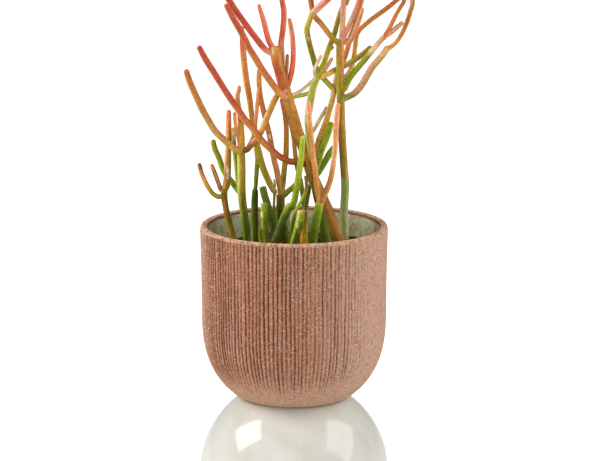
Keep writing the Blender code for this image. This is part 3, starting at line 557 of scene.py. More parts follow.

# %% [markdown]
# ### Bare clay, wiped lip and sage glaze
#
# One piece of clay carries three finishes, so one material chooses between them by where a point lies in
# the pot's section. The clay is red-brown with pale grit and dark pits, lighter in broad rubbed patches and
# towards the foot. Painted shade darkens the left half in broad patches and the grooves, and painted light
# brightens the right side and the far left edge. The lip is wiped smooth, light brown with darker stains.
# Inside, a dark unglazed line comes first, and then the glaze, which is glossy and a little green.

# %% Colour the pot
# The lip has eleven rows. The bare line starts near the tenth, and the glaze just below the last.
LIP_START = section_share(LAST_WALL_ROW)
LIP_INNER = section_share(LAST_WALL_ROW + 10)
GLAZE_START = section_share(LAST_WALL_ROW + 11.15)
ONE_ROW = section_share(1)

clay = Finish("combed_clay", 0.9, Specular_IOR_Level=0.25)
cut = clay.attribute("cut")
section = clay.attribute("section")
broad = clay.grain(0.040, stretch=(1.0, 1.0, 1.8), detail=3.0)
mottle = clay.grain(0.0040, stretch=(1.0, 1.0, 2.2), detail=4.0, rough=0.7)
grit = clay.specks(0.0013).over(0.24, 0.56)
pits = clay.specks(0.0014, seed=9.0).over(0.26, 0.56)
sown = clay.grain(0.0022, detail=1.0)
across = clay.axis("X")
terracotta = paint(184, 130, 101)
rubbed_and_lit = paint(192, 152, 128)
flashed_and_shaded = paint(176, 108, 78)
shaded = paint(90, 50, 31)
pale_grain = paint(246, 222, 194)
# Painted shade in broad patches on the left half, painted light on the right side, lighter rubbed
# patches all round, and a darker mottling.
colour = clay.mix(terracotta, flashed_and_shaded, (1.0 - across.over(-0.030, 0.030)) * broad.over(0.36, 0.60) * 0.8)
colour = clay.mix(colour, rubbed_and_lit, across.over(0.010, 0.062) * 0.85)
colour = clay.mix(colour, rubbed_and_lit, broad.over(0.50, 0.70) * 0.35)
colour = clay.mix(colour, paint(122, 78, 56), mottle.over(0.50, 0.74) * 0.55)
# Lighter towards the foot, painted light at the far left edge, and painted shade in the grooves.
foot = 1.0 - clay.axis("Z").over(0.002, 0.045)
colour = clay.mix(colour, rubbed_and_lit, foot * 0.75)
colour = clay.mix(colour, rubbed_and_lit, (1.0 - across.over(-0.090, -0.066)) * 0.8)
# Painted shade: the grooves are darkened by how deep the comb cut.
colour = clay.mix(colour, shaded, cut.over(0.06, 0.66) * 0.88)
# Dark pits, and pale grit where there are no pits.
colour = clay.mix(colour, paint(92, 56, 40), pits * sown.over(0.50, 0.56) * 0.75)
shown = grit * (1.0 - sown.over(0.46, 0.56)) * (1.0 - cut.over(0.3, 0.8) * 0.5)
colour = clay.mix(colour, pale_grain, shown * 0.95)
# The stained lip, the bare line inside it and the glaze with its ragged upper edge.
on_lip = section.over(LIP_START - 0.3 * ONE_ROW, LIP_START + 0.5 * ONE_ROW)
lip_stain = clay.grain(0.0030, detail=4.0, rough=0.7).over(0.44, 0.58)
lip_colour = clay.mix(paint(210, 166, 134), paint(154, 108, 78), lip_stain)
lip_colour = clay.mix(lip_colour, pale_grain, grit * 0.8)
colour = clay.mix(colour, lip_colour, on_lip)
bare_band = section.over(LIP_INNER - 1.5 * ONE_ROW, LIP_INNER)
colour = clay.mix(colour, paint(112, 72, 44), bare_band * 0.85)
ragged = clay.grain(0.006, detail=3.0) * 0.10 * ONE_ROW
glazed = (section + ragged).over(GLAZE_START, GLAZE_START + 0.08 * ONE_ROW)
sage = clay.mix(paint(150, 144, 104), paint(184, 180, 148), clay.grain(0.02, detail=3.0).over(0.38, 0.62))
sage = clay.mix(sage, paint(108, 98, 62), clay.grain(0.0028, detail=2.0).over(0.56, 0.68) * 0.7)
clay.set("Base Color", clay.mix(colour, sage, glazed))
clay.set("Roughness", 0.88 + mottle * 0.10 - glazed * 0.72)
clay.set("Coat Weight", glazed * 0.5)
clay.bump(grit * 0.6 * (1 - glazed) - pits * 0.3 + mottle * 0.35 + glazed * 0.2, 0.0005)
pot.data.materials.append(clay.material)
print("clay nodes:", len(clay.tree.nodes))

# %% [markdown]
# ## The soil
#
# The mix in the pot is bark, peat and a little white grit, well below the lip. From the front only a dark
# line of it shows between the stems, but from above it is a large part of the view. A rough surface plus
# loose crumbs is quick and convincing: the surface comes from noise, and the crumbs are lumpy little
# stones, bedded into it.

# %% Lay the soil
SOIL_DEPTH = 0.025
SOIL_TOP = RIM_HEIGHT - SOIL_DEPTH
SOIL_RADIUS = 0.0755
SOIL_LEAN = 0.0015
LUMPS = ((0.0012, 70.0), (0.0010, 190.0), (0.0007, 420.0))
SOIL_BASE = POT_BASE + POT_FLOOR + 0.0004
SOIL_GAP = 0.0006
SOIL_RINGS = 46
SOIL_COLUMNS = 150
SIDE_DEPTHS = (0.06, 0.10, 0.12, 0.135, FLOOR_EDGE_DEPTH)
SIDE_GAP, FLOOR_GAP = 0.0008, 0.0026


def soil_height(x, y):
    """The uneven top of the soil, a little higher at the back right, with lumps of three sizes."""
    place = Vector((x, y, 0.0))
    lumps = sum(height * noise.noise(place * scale) for height, scale in LUMPS)
    return SOIL_TOP + lumps + SOIL_LEAN * (x + y) / SOIL_RADIUS


def soil_mesh():
    """The soil's top as rings from the middle outward, and then its side down to the pot's floor."""
    corners, faces = [], []
    angles = [math.tau * column / SOIL_COLUMNS for column in range(SOIL_COLUMNS)]
    for ring in range(SOIL_RINGS + 1):
        radius = max(0.0004, inner_radius(SOIL_DEPTH) * ring / SOIL_RINGS - SOIL_GAP)
        for angle in angles:
            x, y = radius * math.cos(angle), radius * math.sin(angle)
            corners.append((x, y, soil_height(x, y)))
    for depth in SIDE_DEPTHS:
        radius = inner_radius(depth) - (FLOOR_GAP if depth == FLOOR_EDGE_DEPTH else SIDE_GAP)
        height = max(SOIL_BASE, RIM_HEIGHT - depth)
        corners += [(radius * math.cos(angle), radius * math.sin(angle), height) for angle in angles]
    last = (SOIL_RINGS + len(SIDE_DEPTHS)) * SOIL_COLUMNS
    for start in range(0, last, SOIL_COLUMNS):
        for column in range(SOIL_COLUMNS):
            a, b = start + column, start + (column + 1) % SOIL_COLUMNS
            faces.append((a, a + SOIL_COLUMNS, b + SOIL_COLUMNS, b))
    faces.append(list(range(SOIL_COLUMNS)))
    faces.append(list(range(last, last + SOIL_COLUMNS))[::-1])
    mesh = bpy.data.meshes.new("soil_bed")
    mesh.from_pydata(corners, [], faces)
    mesh.shade_smooth()
    return mesh


soil = add("soil_bed", soil_mesh())
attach(soil, "root")
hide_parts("soil")
print("soil faces:", len(soil.data.polygons))

# %% Scatter the crumbs
CRUMB_MARGIN = 0.004
CRUMB_SHAPE = ((0.7, 1.3), (0.5, 1.0), (0.4, 0.8))
CRUMB_LUMP = 0.25
CRUMB_RISE = 0.2


def crumb_mesh(count, sizes, seed):
    """Loose crumbs on the soil, each a lumpy flattened stone of a random size, place and turn."""
    pick = random.Random(seed)
    bm = bmesh.new()
    for _ in range(count):
        reach = math.sqrt(pick.random()) * (inner_radius(SOIL_DEPTH) - CRUMB_MARGIN)
        angle = pick.uniform(0, math.tau)
        x, y = reach * math.cos(angle), reach * math.sin(angle)
        size = pick.uniform(*sizes)
        made = bmesh.ops.create_icosphere(bm, subdivisions=1, radius=size)
        flat = Vector([pick.uniform(least, most) for least, most in CRUMB_SHAPE])
        turn = pick.uniform(0, math.tau)
        for vert in made["verts"]:
            lump = 1.0 + CRUMB_LUMP * noise.noise(vert.co * 900.0 + Vector((x, y, size)) * 5000.0)
            shaped = Vector(part * scale for part, scale in zip(vert.co, flat)) * lump
            vert.co = (x + shaped.x * math.cos(turn) - shaped.y * math.sin(turn),
                       y + shaped.x * math.sin(turn) + shaped.y * math.cos(turn),
                       soil_height(x, y) + CRUMB_RISE * size + shaped.z)
    mesh = bpy.data.meshes.new("crumbs")
    bm.to_mesh(mesh)
    bm.free()
    mesh.shade_smooth()
    return mesh


bark = add("bark_crumbs", crumb_mesh(900, (0.0006, 0.0020), 5))
pale_grit = add("pale_grit", crumb_mesh(90, (0.0005, 0.0012), 8))
for crumbs in (bark, pale_grit):
    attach(crumbs, "root")
print("crumb faces:", len(bark.data.polygons) + len(pale_grit.data.polygons))

# %% Colour the soil
earth = Finish("potting_mix", 0.95, Specular_IOR_Level=0.2)
fibre = earth.grain(0.0016, detail=4.0, rough=0.7)
patches = earth.grain(0.012, detail=3.0)
colour = earth.mix(paint(46, 34, 24), paint(86, 62, 42), fibre.over(0.40, 0.68))
colour = earth.mix(colour, paint(112, 84, 56), patches.over(0.52, 0.72) * 0.45)
earth.set("Base Color", colour)
earth.bump(fibre + patches * 0.5, 0.0008)
soil.data.materials.append(earth.material)
bark.data.materials.append(earth.material)
white_grit = Finish("white_grit", 0.8)
white_grit.set("Base Color", white_grit.mix(paint(196, 186, 164), paint(140, 124, 100),
                                            white_grit.grain(0.0012).over(0.4, 0.7)))
pale_grit.data.materials.append(white_grit.material)
print("soil materials:", earth.material.name, white_grit.material.name)

# %% [markdown]
# ## How a stem is grown
#
# Every shoot is a smooth green pencil. It starts as a round bud on an older shoot, so there is a slight
# collar where the two meet. It ends in a dome, or bluntly where it was cut or where younger shoots start.
# The skin is waxy. It is green in the shade, and the sun turns it yellow, orange and red from the tip down,
# more on one side than on the other. The side colours also hold painted light: a painted highlight on the
# left side, where the stronger lamp is, and painted shade on the right. Old wounds leave pale scars with a
# dark edge.
#
# A curve with a bevel could draw the tube, but not its colours. So each shoot is swept by hand: a smooth
# curve runs through the route's points, rings of points stand across it, and each point gets its own
# colour from a short list of paints by height, by side and by the scars near it.

# %% Paints for the skin
SKIN = {
    "pine": paint(62, 82, 8),
    "fern": paint(90, 114, 10),
    "green": paint(120, 142, 12),
    "leaf": paint(134, 156, 8),
    "lime": paint(162, 178, 44),
    "celery": paint(208, 204, 104),
    "lichen": paint(196, 198, 140),
    "sage": paint(150, 166, 96),
    "moss": paint(144, 142, 14),
    "olive": paint(150, 128, 22),
    "drab": paint(104, 84, 12),
    "khaki": paint(188, 160, 38),
    "pear": paint(192, 190, 44),
    "yellow": paint(214, 176, 30),
    "cream": paint(246, 224, 176),
    "beige": paint(232, 200, 164),
    "ochre": paint(202, 146, 30),
    "gold": paint(228, 164, 70),
    "bronze": paint(194, 132, 56),
    "orange": paint(232, 144, 76),
    "amber": paint(202, 122, 60),
    "tan": paint(210, 156, 98),
    "brown": paint(146, 94, 34),
    "umber": paint(84, 50, 22),
    "rust": paint(176, 92, 44),
    "brick": paint(190, 80, 52),
    "wine": paint(124, 38, 24),
    "crimson": paint(190, 34, 38),
    "garnet": paint(182, 64, 46),
    "red": paint(208, 84, 64),
    "coral": paint(236, 112, 78),
    "salmon": paint(238, 142, 110),
    "peach": paint(244, 184, 140),
    "pink": paint(242, 176, 158),
    "rose": paint(206, 140, 108),
    "chalk": paint(232, 216, 188),
    "ash": paint(178, 170, 134),
}
print("skin paints:", len(SKIN))

# %% The shape of one shoot
# Lengths are in mm. A blunt tip is rounded over a short reach only, and with a squarer curve.
RING_EVERY = 0.9
SIDES = 18
SMOOTH_STEPS = 12
ROUND_POWER = 2.0
BLUNT_POWER = 2.6
BLUNT_REACH = 0.42
SWAY, SWAY_SCALE = 0.035, 0.045
COLLAR_SWELL, COLLAR_PLACE, COLLAR_WIDTH = 0.10, 3.0, 1.6
RING_SWELL, RING_LEAST_WIDTH = 0.035, 0.8
LEAST_RADIUS = 0.02
ROOT_FOOT = -57.5
ROOT_LENGTH = 35.0
GRAIN_STEP = 31.7


def smooth_route(points):
    """Samples a smooth curve through the route's points: right, back, up and radius, in mm."""
    knots = [Vector(point) for point in points]
    ends = [2 * knots[0] - knots[1], *knots, 2 * knots[-1] - knots[-2]]
    samples = []
    for before, start, stop, after in zip(ends, ends[1:], ends[2:], ends[3:]):
        for step in range(SMOOTH_STEPS):
            t = step / SMOOTH_STEPS
            pull = (stop - before) * t
            bend = (2 * before - 5 * start + 4 * stop - after) * t * t
            twist = (3 * start - before - 3 * stop + after) * t * t * t
            samples.append(start + 0.5 * (pull + bend + twist))
    samples.append(knots[-1])
    return np.array(samples)


def even_stations(samples):
    """Places a ring about every RING_EVERY mm along the samples."""
    steps = np.linalg.norm(np.diff(samples[:, :3], axis=0), axis=1)
    length = np.concatenate([[0.0], np.cumsum(steps)])
    count = max(6, int(length[-1] / RING_EVERY))
    wanted = np.linspace(0.0, length[-1], count + 1)
    return np.column_stack([np.interp(wanted, length, samples[:, part]) for part in range(4)]), wanted


def swollen(radii, swell, away):
    """The radii with a rounded swelling; away is the distance from its middle, in its own widths."""
    return radii * (1.0 + swell * np.exp(-away ** 2))


def shoot_tube(piece, seed, rooted):
    """The rings of one shoot: places, radii, ways, the length so far and the nearness to the tip."""
    stations, run = even_stations(smooth_route(piece["route"]))
    places, radii = stations[:, :3], stations[:, 3]
    blunt = piece["tip"] != "round"
    reach = radii[-1] * (BLUNT_REACH if blunt else 1.0)
    power = BLUNT_POWER if blunt else ROUND_POWER
    near_tip = np.clip((run - (run[-1] - reach)) / max(reach, 0.01), 0.0, 1.0)
    dome = np.power(np.clip(1.0 - near_tip ** power, 0.0, 1.0), 1.0 / power)
    sway = np.array([noise.noise(Vector((length * SWAY_SCALE, seed * 7.3, 0.0))) for length in run])
    radii = radii * (1.0 + SWAY * sway)
    if not rooted:
        radii = swollen(radii, COLLAR_SWELL, (run - radii[0] - COLLAR_PLACE) / COLLAR_WIDTH)
    for level, thick, _ in piece["rings"]:
        radii = swollen(radii, RING_SWELL, (places[:, 2] - level) / max(RING_LEAST_WIDTH, thick))
    radii = np.maximum(radii * dome, LEAST_RADIUS)
    ways = np.gradient(places, axis=0)
    ways /= np.linalg.norm(ways, axis=1)[:, None]
    if rooted:
        places = np.vstack([[places[0][0], places[0][1], ROOT_FOOT], places])
        radii = np.concatenate([[radii[0]], radii])
        ways = np.vstack([[0.0, 0.0, 1.0], ways])
        run = np.concatenate([[-ROOT_LENGTH], run])
        near_tip = np.concatenate([[0.0], near_tip])
    return places, radii, ways, run, near_tip


print("rings stand", RING_EVERY, "mm apart with", SIDES, "points each")

# %% [markdown]
# ### Colour by height and by side
#
# A stop says which paints a shoot has at one height above the pot's rim: on its left, on its middle and
# on its right. The side paints hold the skin's own colour and painted light with it: mostly a painted
# highlight on the left and painted shade on the right. A mark is a small oval of another paint, with an
# edge paint round it if it is a scar. A ring is a thin band right round, as an old bud or a growth pause
# leaves.
# All three are written as rows of numbers and paint names, with a comma between two rows, because a shoot
# has many of them.

# %% Read the rows of a shoot
def rows(text):
    """Reads rows of numbers and names, with a comma between two rows."""
    return [[float(word) if word[-1].isdigit() else word for word in row.split()]
            for row in text.split(",") if row.strip()]


def shoot(route, stops, tip="round", cap="chalk", rings="", marks=""):
    """One shoot with its route and its looks; the last paint of a stop serves for those left out."""
    filled = [(level, *paints, *paints[-1:] * (3 - len(paints))) for level, *paints in rows(stops)]
    return {"route": route, "stops": filled, "tip": tip, "cap": cap,
            "rings": rows(rings), "marks": rows(marks)}


print("two rows:", rows("24 gold bronze, 46 orange"))

# %% Colour one shoot
# A side paint starts a tenth of the way out. The other ends and fades are in sizes of the ring or the mark.
SIDE_START, SIDE_FADE = 0.10, 0.75
RING_END, RING_SHARE = 1.4, 0.32
MARK_END, MARK_FADE = 1.12, 0.3
EDGE_END, EDGE_FADE = 1.5, 0.35
HIDDEN = 9.0


def blend(colours, name, share):
    """Lays a paint over the colours by a share from 0 to 1."""
    return colours * (1 - share[:, None]) + np.array(SKIN[name][:3]) * share[:, None]


def skin_colours(piece, heights, across, facing, speckle):
    """Colours for points at these heights; across is -1 at the left edge and 1 at the right one."""
    levels, *sides = zip(*piece["stops"])
    bands = []
    for names in sides:
        paints = np.array([SKIN[name] for name in names])
        bands.append(np.column_stack([np.interp(heights, levels, paints[:, band]) for band in range(3)]))
    left, middle, right = bands
    # Which way a point faces picks its side paint, so the left paint lays a painted highlight and the right
    # one painted shade.
    toward_left = ease((-across - SIDE_START) / SIDE_FADE)[:, None]
    toward_right = ease((across - SIDE_START) / SIDE_FADE)[:, None]
    colours = middle * (1 - toward_left - toward_right) + left * toward_left + right * toward_right
    colours = colours * speckle[:, None]
    for level, thick, name in piece["rings"]:
        colours = blend(colours, name, RING_SHARE * ease(RING_END - np.abs(heights - level) / thick))
    for level, side, tall, wide, name, *edge in piece["marks"]:
        reach = np.hypot((heights - level) / tall, (across - side) / wide)
        reach = np.where(facing > -0.1, reach, HIDDEN)
        if edge:
            colours = blend(colours, edge[0], ease((EDGE_END - reach) / EDGE_FADE))
        colours = blend(colours, name, ease((MARK_END - reach) / MARK_FADE))
    return np.clip(colours, 0.0, 1.0)


def clouds_over(grains, wide, tall):
    """Smooth noise over the skin, at one scale across a shoot and another along it."""
    return np.array([noise.noise(Vector((x * wide, y * wide, z * tall))) for x, y, z in grains])


print("side paints start at", SIDE_START, "and are full at", SIDE_START + SIDE_FADE)

# %% Grow one shoot
CAP_START, CAP_FADE = 0.55, 0.4


def shoot_mesh(bm, layers, piece, seed, rooted):
    """Adds one shoot to a mesh, with a colour and a grain place for every point, and gives its length."""
    places, radii, ways, run, near_tip = shoot_tube(piece, seed, rooted)
    across = np.cross(ways[1 if rooted else 0], (0.0, 1.0, 0.0))
    angles = np.arange(SIDES) * math.tau / SIDES
    points, outward, grains = [], [], []
    for place, radius, way, length in zip(places, radii, ways, run):
        across = across - way * across.dot(way)
        across /= np.linalg.norm(across)
        out = np.outer(np.cos(angles), across) + np.outer(np.sin(angles), np.cross(way, across))
        points.append(place + radius * out)
        outward.append(out)
        grains.append(np.column_stack([radius * np.cos(angles), radius * np.sin(angles),
                                       np.full(SIDES, length + GRAIN_STEP * seed)]))
    points, outward, grains = np.concatenate(points), np.concatenate(outward), np.concatenate(grains)
    cloud = clouds_over(grains, 0.35, 0.09)
    spots = clouds_over(grains, 0.9, 0.5)
    # The side paints follow which way each point faces, left or right: painted highlight and painted shade.
    colours = skin_colours(piece, points[:, 2] + 3.0 * cloud, outward[:, 0] + 0.35 * cloud, -outward[:, 1],
                           1.0 + 0.34 * spots + 0.14 * cloud)
    if piece["tip"] == "cut":
        colours = blend(colours, piece["cap"], np.repeat(ease((near_tip - CAP_START) / CAP_FADE), SIDES))
    made = [bm.verts.new(point * MM + np.array((0.0, 0.0, RIM_HEIGHT))) for point in points]
    for vert, colour, grain in zip(made, colours, grains):
        vert[layers["skin"]] = (*colour, 1.0)
        vert[layers["grain"]] = Vector(grain)
    for start in range(0, len(made) - SIDES, SIDES):
        for side in range(SIDES):
            a, b = start + side, start + (side + 1) % SIDES
            bm.faces.new((made[a], made[b], made[b + SIDES], made[a + SIDES]))
    bm.faces.new(made[:SIDES][::-1])
    bm.faces.new(made[-SIDES:])
    return run[-1]


print("a cut end's cap starts at", CAP_START, "of the way round its tip")

# %% [markdown]
# ### Waxy skin
#
# The skin's own colour comes from the points. On top of it the material adds what is finer than they are:
# lengthwise streaks, tiny pale breathing pores and a soft waxy sheen.

# %% The skin's finish
def skin_finish():
    waxy = Finish("waxy_skin", 0.42, Specular_IOR_Level=0.16)
    skin = waxy.attribute("skin", out="Color")
    where = waxy.attribute("grain", out="Vector")
    streaks = waxy.grain(1.0, where, stretch=(0.8, 0.8, 9.0), detail=3.0)
    pores = waxy.grain(1.0, where, stretch=(0.5, 0.5, 1.0), detail=1.0)
    bloom = waxy.grain(1.0, where, stretch=(3.0, 3.0, 8.0), detail=2.0)
    colour = waxy.mix(skin, (0.0, 0.0, 0.0, 1.0), streaks.over(0.48, 0.74) * 0.42)
    colour = waxy.mix(colour, paint(236, 224, 140), pores.over(0.60, 0.70) * 0.30)
    waxy.set("Base Color", colour)
    waxy.set("Roughness", 0.36 + bloom * 0.16)
    waxy.bump(streaks * 0.7 + pores * 0.3, 0.00018)
    return waxy.material


WAXY = skin_finish()
print("skin nodes:", len(WAXY.node_tree.nodes))


def grow(node, shoots):
    """Grows one rooted stem with all its shoots, in place of the plain solid of the same name."""
    bm = bmesh.new()
    layers = {"skin": bm.verts.layers.float_color.new("skin"),
              "grain": bm.verts.layers.float_vector.new("grain")}
    length = 0.0
    for number, piece in enumerate(shoots):
        length += shoot_mesh(bm, layers, piece, len(node) + 13 * number, rooted=number == 0)
    mesh = bpy.data.meshes.new(node)
    bm.to_mesh(mesh)
    bm.free()
    mesh.shade_smooth()
    mesh.materials.append(WAXY)
    stem = add("skin_" + node, mesh)
    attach(stem, "root")
    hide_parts(node)
    print(node, "shoots:", len(shoots), "length in mm:", round(length), "faces:", len(mesh.polygons))


# %% [markdown]
# ## The stems, one by one
#
# From here on, each cell grows one rooted stem, shoot by shoot. A route is the middle line of a shoot, in
# millimetres from the centre of the rim: right, back, up, and the radius there. Its stops follow, from its
# start to its tip: a height, and the left, the middle and the right paint. A paint that is left out is the
# one before it.

# %% The stem at the left edge
grow("stem_left_edge", [
    shoot([(-54, -6, -22, 2.8), (-54.7, -6, -11, 2.8), (-56.7, -6, -4, 2.9), (-58.7, -6, 5, 2.9),
        (-60.7, -6, 14, 2.8), (-62.4, -6, 25, 2.9), (-62.6, -6, 34, 3.1)], """
        -22 khaki moss bronze, -4 khaki olive moss, 6 olive drab fern, 14 brown rust fern,
        22 brown rust fern, 34 olive drab green"""),
    shoot([(-63, -6, 27, 2.2), (-68, -7, 27, 2.1), (-73, -7, 30, 2.1), (-77, -8, 36, 2.1),
        (-80, -8, 42, 2.1), (-82.5, -8, 48, 2.1), (-84, -8, 54, 2.0), (-85, -8, 58, 1.7)], """
        26 cream olive bronze, 36 bronze khaki olive, 45 tan orange amber, 53 amber brown drab,
        59 umber"""),
    shoot([(-63, -5, 31, 2.0), (-66, -4, 34, 2.0), (-70, -3, 45, 2.0), (-74, -2, 56, 1.8)], """
        30 brown brown umber, 34 brown bronze umber, 51 umber tan umber, 54 orange amber"""),
    shoot([(-62.6, -5, 31, 2.6), (-60.6, -3, 37, 3.2), (-59.6, -2, 50, 3.3), (-59.1, -1, 69, 3.0),
        (-58.6, 0, 82, 2.8), (-58.3, 0, 105, 2.1)], """
        30 gold brown olive, 50 tan rust olive, 66 cream bronze olive, 82 peach orange olive,
        106 salmon orange coral""", marks="49 0.1 8.5 0.22 chalk brown, 74 0.2 6.0 0.3 coral"),
])

# %% The green fork on the left
grow("stem_left_fork", [
    shoot([(-42.4, -10, -22, 3.5), (-42.4, -10, -11, 3.5), (-43.3, -10, 1, 3.6), (-45, -10, 14, 3.6),
        (-46.8, -10, 30, 3.7), (-46.9, -10, 52, 3.7), (-47.3, -10, 71, 3.6)], """
        -22 fern pine fern, 2 green pine fern, 20 lime drab green, 38 celery olive moss,
        58 celery bronze moss, 71 pear olive moss""", rings="30 0.8 umber"),
    shoot([(-47, -10, 68, 3.0), (-52, -12, 71, 3.0), (-62.2, -13, 79.7, 3.0), (-70.7, -14, 88.9, 3.0),
        (-76.5, -15, 98.7, 3.0), (-81.4, -16, 107.8, 3.0), (-85.4, -17, 116.8, 3.0),
        (-89.4, -17, 125.8, 2.9), (-93, -18, 135, 2.9), (-95.9, -18, 144.6, 2.5)], """
        66 pear khaki tan, 85 moss tan amber, 115 bronze bronze amber, 146 bronze rust amber""",
        rings="109 0.9 brown"),
    shoot([(-48, -10, 68, 1.8), (-49.3, -8, 79, 1.8), (-51.5, -7, 88, 1.8), (-53.2, -6, 104, 1.7)], """
        68 orange bronze gold, 105 tan orange peach"""),
    shoot([(-47.5, -10, 68, 3.1), (-46.8, -8, 78, 3.0), (-47.2, -5, 88, 2.8), (-47.6, -3, 96, 2.6),
        (-49.2, -2, 107, 2.3), (-50.4, -2, 117, 2.1), (-48.8, -2, 124, 1.9), (-49.6, -2, 127.2, 1.3)], """
        68 gold bronze khaki, 85 orange ochre khaki, 105 orange amber tan, 128 salmon orange tan""",
        rings="97 0.9 brown"),
    shoot([(-47, -10, 33, 2.0), (-50, -8, 40, 2.0), (-51, -7, 47, 2.0), (-52.5, -6.5, 61, 2.0),
        (-53.7, -6.5, 77, 2.0), (-54.5, -6.5, 90, 1.8)], """
        33 lime leaf green, 60 celery green, 76 khaki green moss, 84 ochre chalk cream,
        90 gold tan gold"""),
    shoot([(-47, -10, 69, 2.6), (-42, -10, 70.5, 2.6), (-38, -9.5, 74.5, 2.6), (-33.5, -9, 79.5, 2.6),
        (-28.5, -7, 87.7, 2.8), (-25, -5, 96.2, 2.9), (-21.2, -3, 105.2, 2.9), (-16.8, 1, 114.2, 2.8),
        (-14.2, 5, 118, 2.5), (-12.8, 8, 121, 2.1)], """
        68 garnet umber brown, 73 garnet brown olive, 79 pink amber khaki, 92 cream gold ochre,
        106 cream bronze ochre, 122 peach gold bronze""", rings="86 0.9 brown"),
    shoot([(-42, -9, 71, 1.0), (-40, -8, 76, 1.0), (-36.5, -7, 83, 0.8)], """
        70 bronze cream chalk, 83 ochre bronze peach"""),
    shoot([(-47, -9, 30, 2.7), (-51, -3, 33, 2.7), (-54, 3, 36, 2.7), (-59.5, 7, 42, 2.7),
        (-64, 9, 49, 2.7), (-67.5, 10, 59, 2.7), (-71, 10, 67, 2.6), (-73, 10, 76, 2.3)], """
        30 green green fern, 45 lime leaf green, 60 lime moss green, 76 khaki olive green""",
        rings="60 0.8 olive"),
])

# %% The slim stem behind it
grow("stem_left_slim", [
    shoot([(-35.6, 3, -22, 3.2), (-35.6, 3, -14, 3.2), (-35.5, 3, 12, 3.2), (-35, 3, 29, 2.8),
        (-34.8, 3, 32, 1.8), (-34.3, 3, 36, 1.9), (-33.5, 3, 49, 2.1), (-32.8, 4, 58, 2.2),
        (-33.6, 4, 67, 2.3), (-35.2, 4, 77, 2.3), (-37.7, 4, 97, 2.4), (-39.5, 3, 113, 2.7),
        (-42.5, 3, 131, 2.9), (-44.6, 3, 149, 2.8), (-45.8, 3, 167, 2.5), (-46.3, 3, 180, 1.8)], """
        -22 lichen green fern, 4 green fern pine, 29 green pine, 34 leaf green fern, 55 lime leaf green,
        70 cream pear khaki, 86 gold khaki cream, 102 gold ochre gold, 122 gold amber, 146 orange amber tan,
        166 brick coral pink, 180 amber orange salmon""", rings="31.5 0.8 umber, 150 0.9 brown"),
])

# %% The pale stub at the front left
grow("stub_front_left", [
    shoot([(-25, -38, -22, 3.4), (-25, -38, -7, 3.4), (-26, -38, 8, 3.4), (-26.5, -38, 17, 3.4),
        (-26.5, -38, 28.5, 3.3)], """
        -22 celery khaki, -2 lime fern, 12 lime fern, 22 lime leaf green, 29 beige leaf green""",
        tip="cut", cap="brown", rings="6 0.7 khaki", marks="18 -0.5 3.0 0.2 cream"),
    shoot([(-25, -38, -12, 1.5), (-29, -40, -9, 1.5), (-30.5, -40, 0, 1.5), (-29.5, -40, 5, 1.3)], """
        -12 olive khaki moss, 5 fern fern green"""),
])

# %% The dark stub
grow("stub_dark", [
    shoot([(-15, -12, -22, 3.3), (-16, -12, -14, 3.3), (-19, -12, 2, 3.3), (-21, -12, 11, 3.3),
        (-23.5, -12, 20, 3.3), (-26.3, -12, 29, 3.3), (-28.2, -12, 37.6, 3.2)], """
        -22 pine, 10 pine pine fern, 24 fern, 39 fern fern green""", tip="cut", cap="ash"),
])

# %% The leaning stem at the front
grow("stem_front_leaning", [
    shoot([(-18, -46, -22, 3.5), (-18, -46, -14, 3.5), (-17, -46, -5, 3.5), (-14, -45, 2, 3.5),
        (-11.5, -44, 9.5, 3.5), (-6.5, -42, 21, 3.5), (-3, -40, 28, 3.4)], """
        -22 drab, 0 pine, 16 fern pine, 24 green green pine, 28 lichen lime fern""", tip="node"),
    shoot([(-3, -40, 24, 2.9), (0, -39, 29, 2.9), (2, -38, 39, 2.9), (3.5, -37, 48, 2.8), (5, -36, 58, 2.8),
        (6, -36, 66, 2.7), (7, -35, 76, 2.6), (8, -35, 88, 2.4)], """
        24 lime green, 40 leaf, 60 leaf lime, 82 lime lime pear, 86 lime pear, 88.5 chalk pink beige""",
        rings="47 0.8 pear, 68 0.8 celery"),
])

# %% The fork in the middle
grow("stem_middle_fork", [
    shoot([(-6, 0, -22, 3.8), (-7, 0, -17, 3.8), (-9, 0, -5, 3.8), (-11, 0, 4, 3.8), (-12, 0, 14, 3.8),
        (-12, 0, 28, 3.8)], """
        -22 fern drab fern, 8 fern pine fern, 22 green drab moss, 28 brown brown olive""", tip="node"),
    shoot([(-12, 0, 24, 2.7), (-12, 1, 30, 2.7), (-13.5, 2, 38, 2.7), (-15.5, 3, 49, 2.7),
        (-18.2, 4, 60, 2.6), (-20.6, 5, 73, 2.6), (-22.9, 6, 85, 2.5), (-26, 6, 97, 2.4),
        (-28.9, 6, 110, 2.4), (-30.4, 6, 119, 2.4), (-31.2, 6, 129, 2.3), (-31, 6, 141, 2.1)], """
        24 gold bronze peach, 46 gold orange cream, 66 peach amber tan, 86 gold orange tan, 106 gold orange,
        141 peach orange gold""", rings="131 0.7 cream", marks="79 0.0 3.6 0.34 cream umber"),
    shoot([(-12, 0, 25, 2.2), (-10.5, 1, 31, 2.3), (-9.5, 2, 40, 2.4), (-8.6, 3, 51, 2.5),
        (-7.2, 5, 62, 2.5), (-6.9, 6, 76, 2.4), (-6.9, 7, 87, 2.3), (-8, 8, 98, 2.2), (-9.8, 8, 107, 2.1),
        (-11.2, 8, 114, 2.0)], """
        24 gold gold cream, 42 khaki olive, 56 amber khaki, 72 amber ochre gold, 92 amber bronze gold,
        115 orange orange gold"""),
    shoot([(-12, 0, 24, 2.6), (-9, 0, 27, 2.6), (-4.5, 0, 31, 2.6), (0, 1, 34.5, 2.6),
        (3.2, 1, 38.6, 2.5)], """
        24 pear moss olive, 40 pear moss olive"""),
])

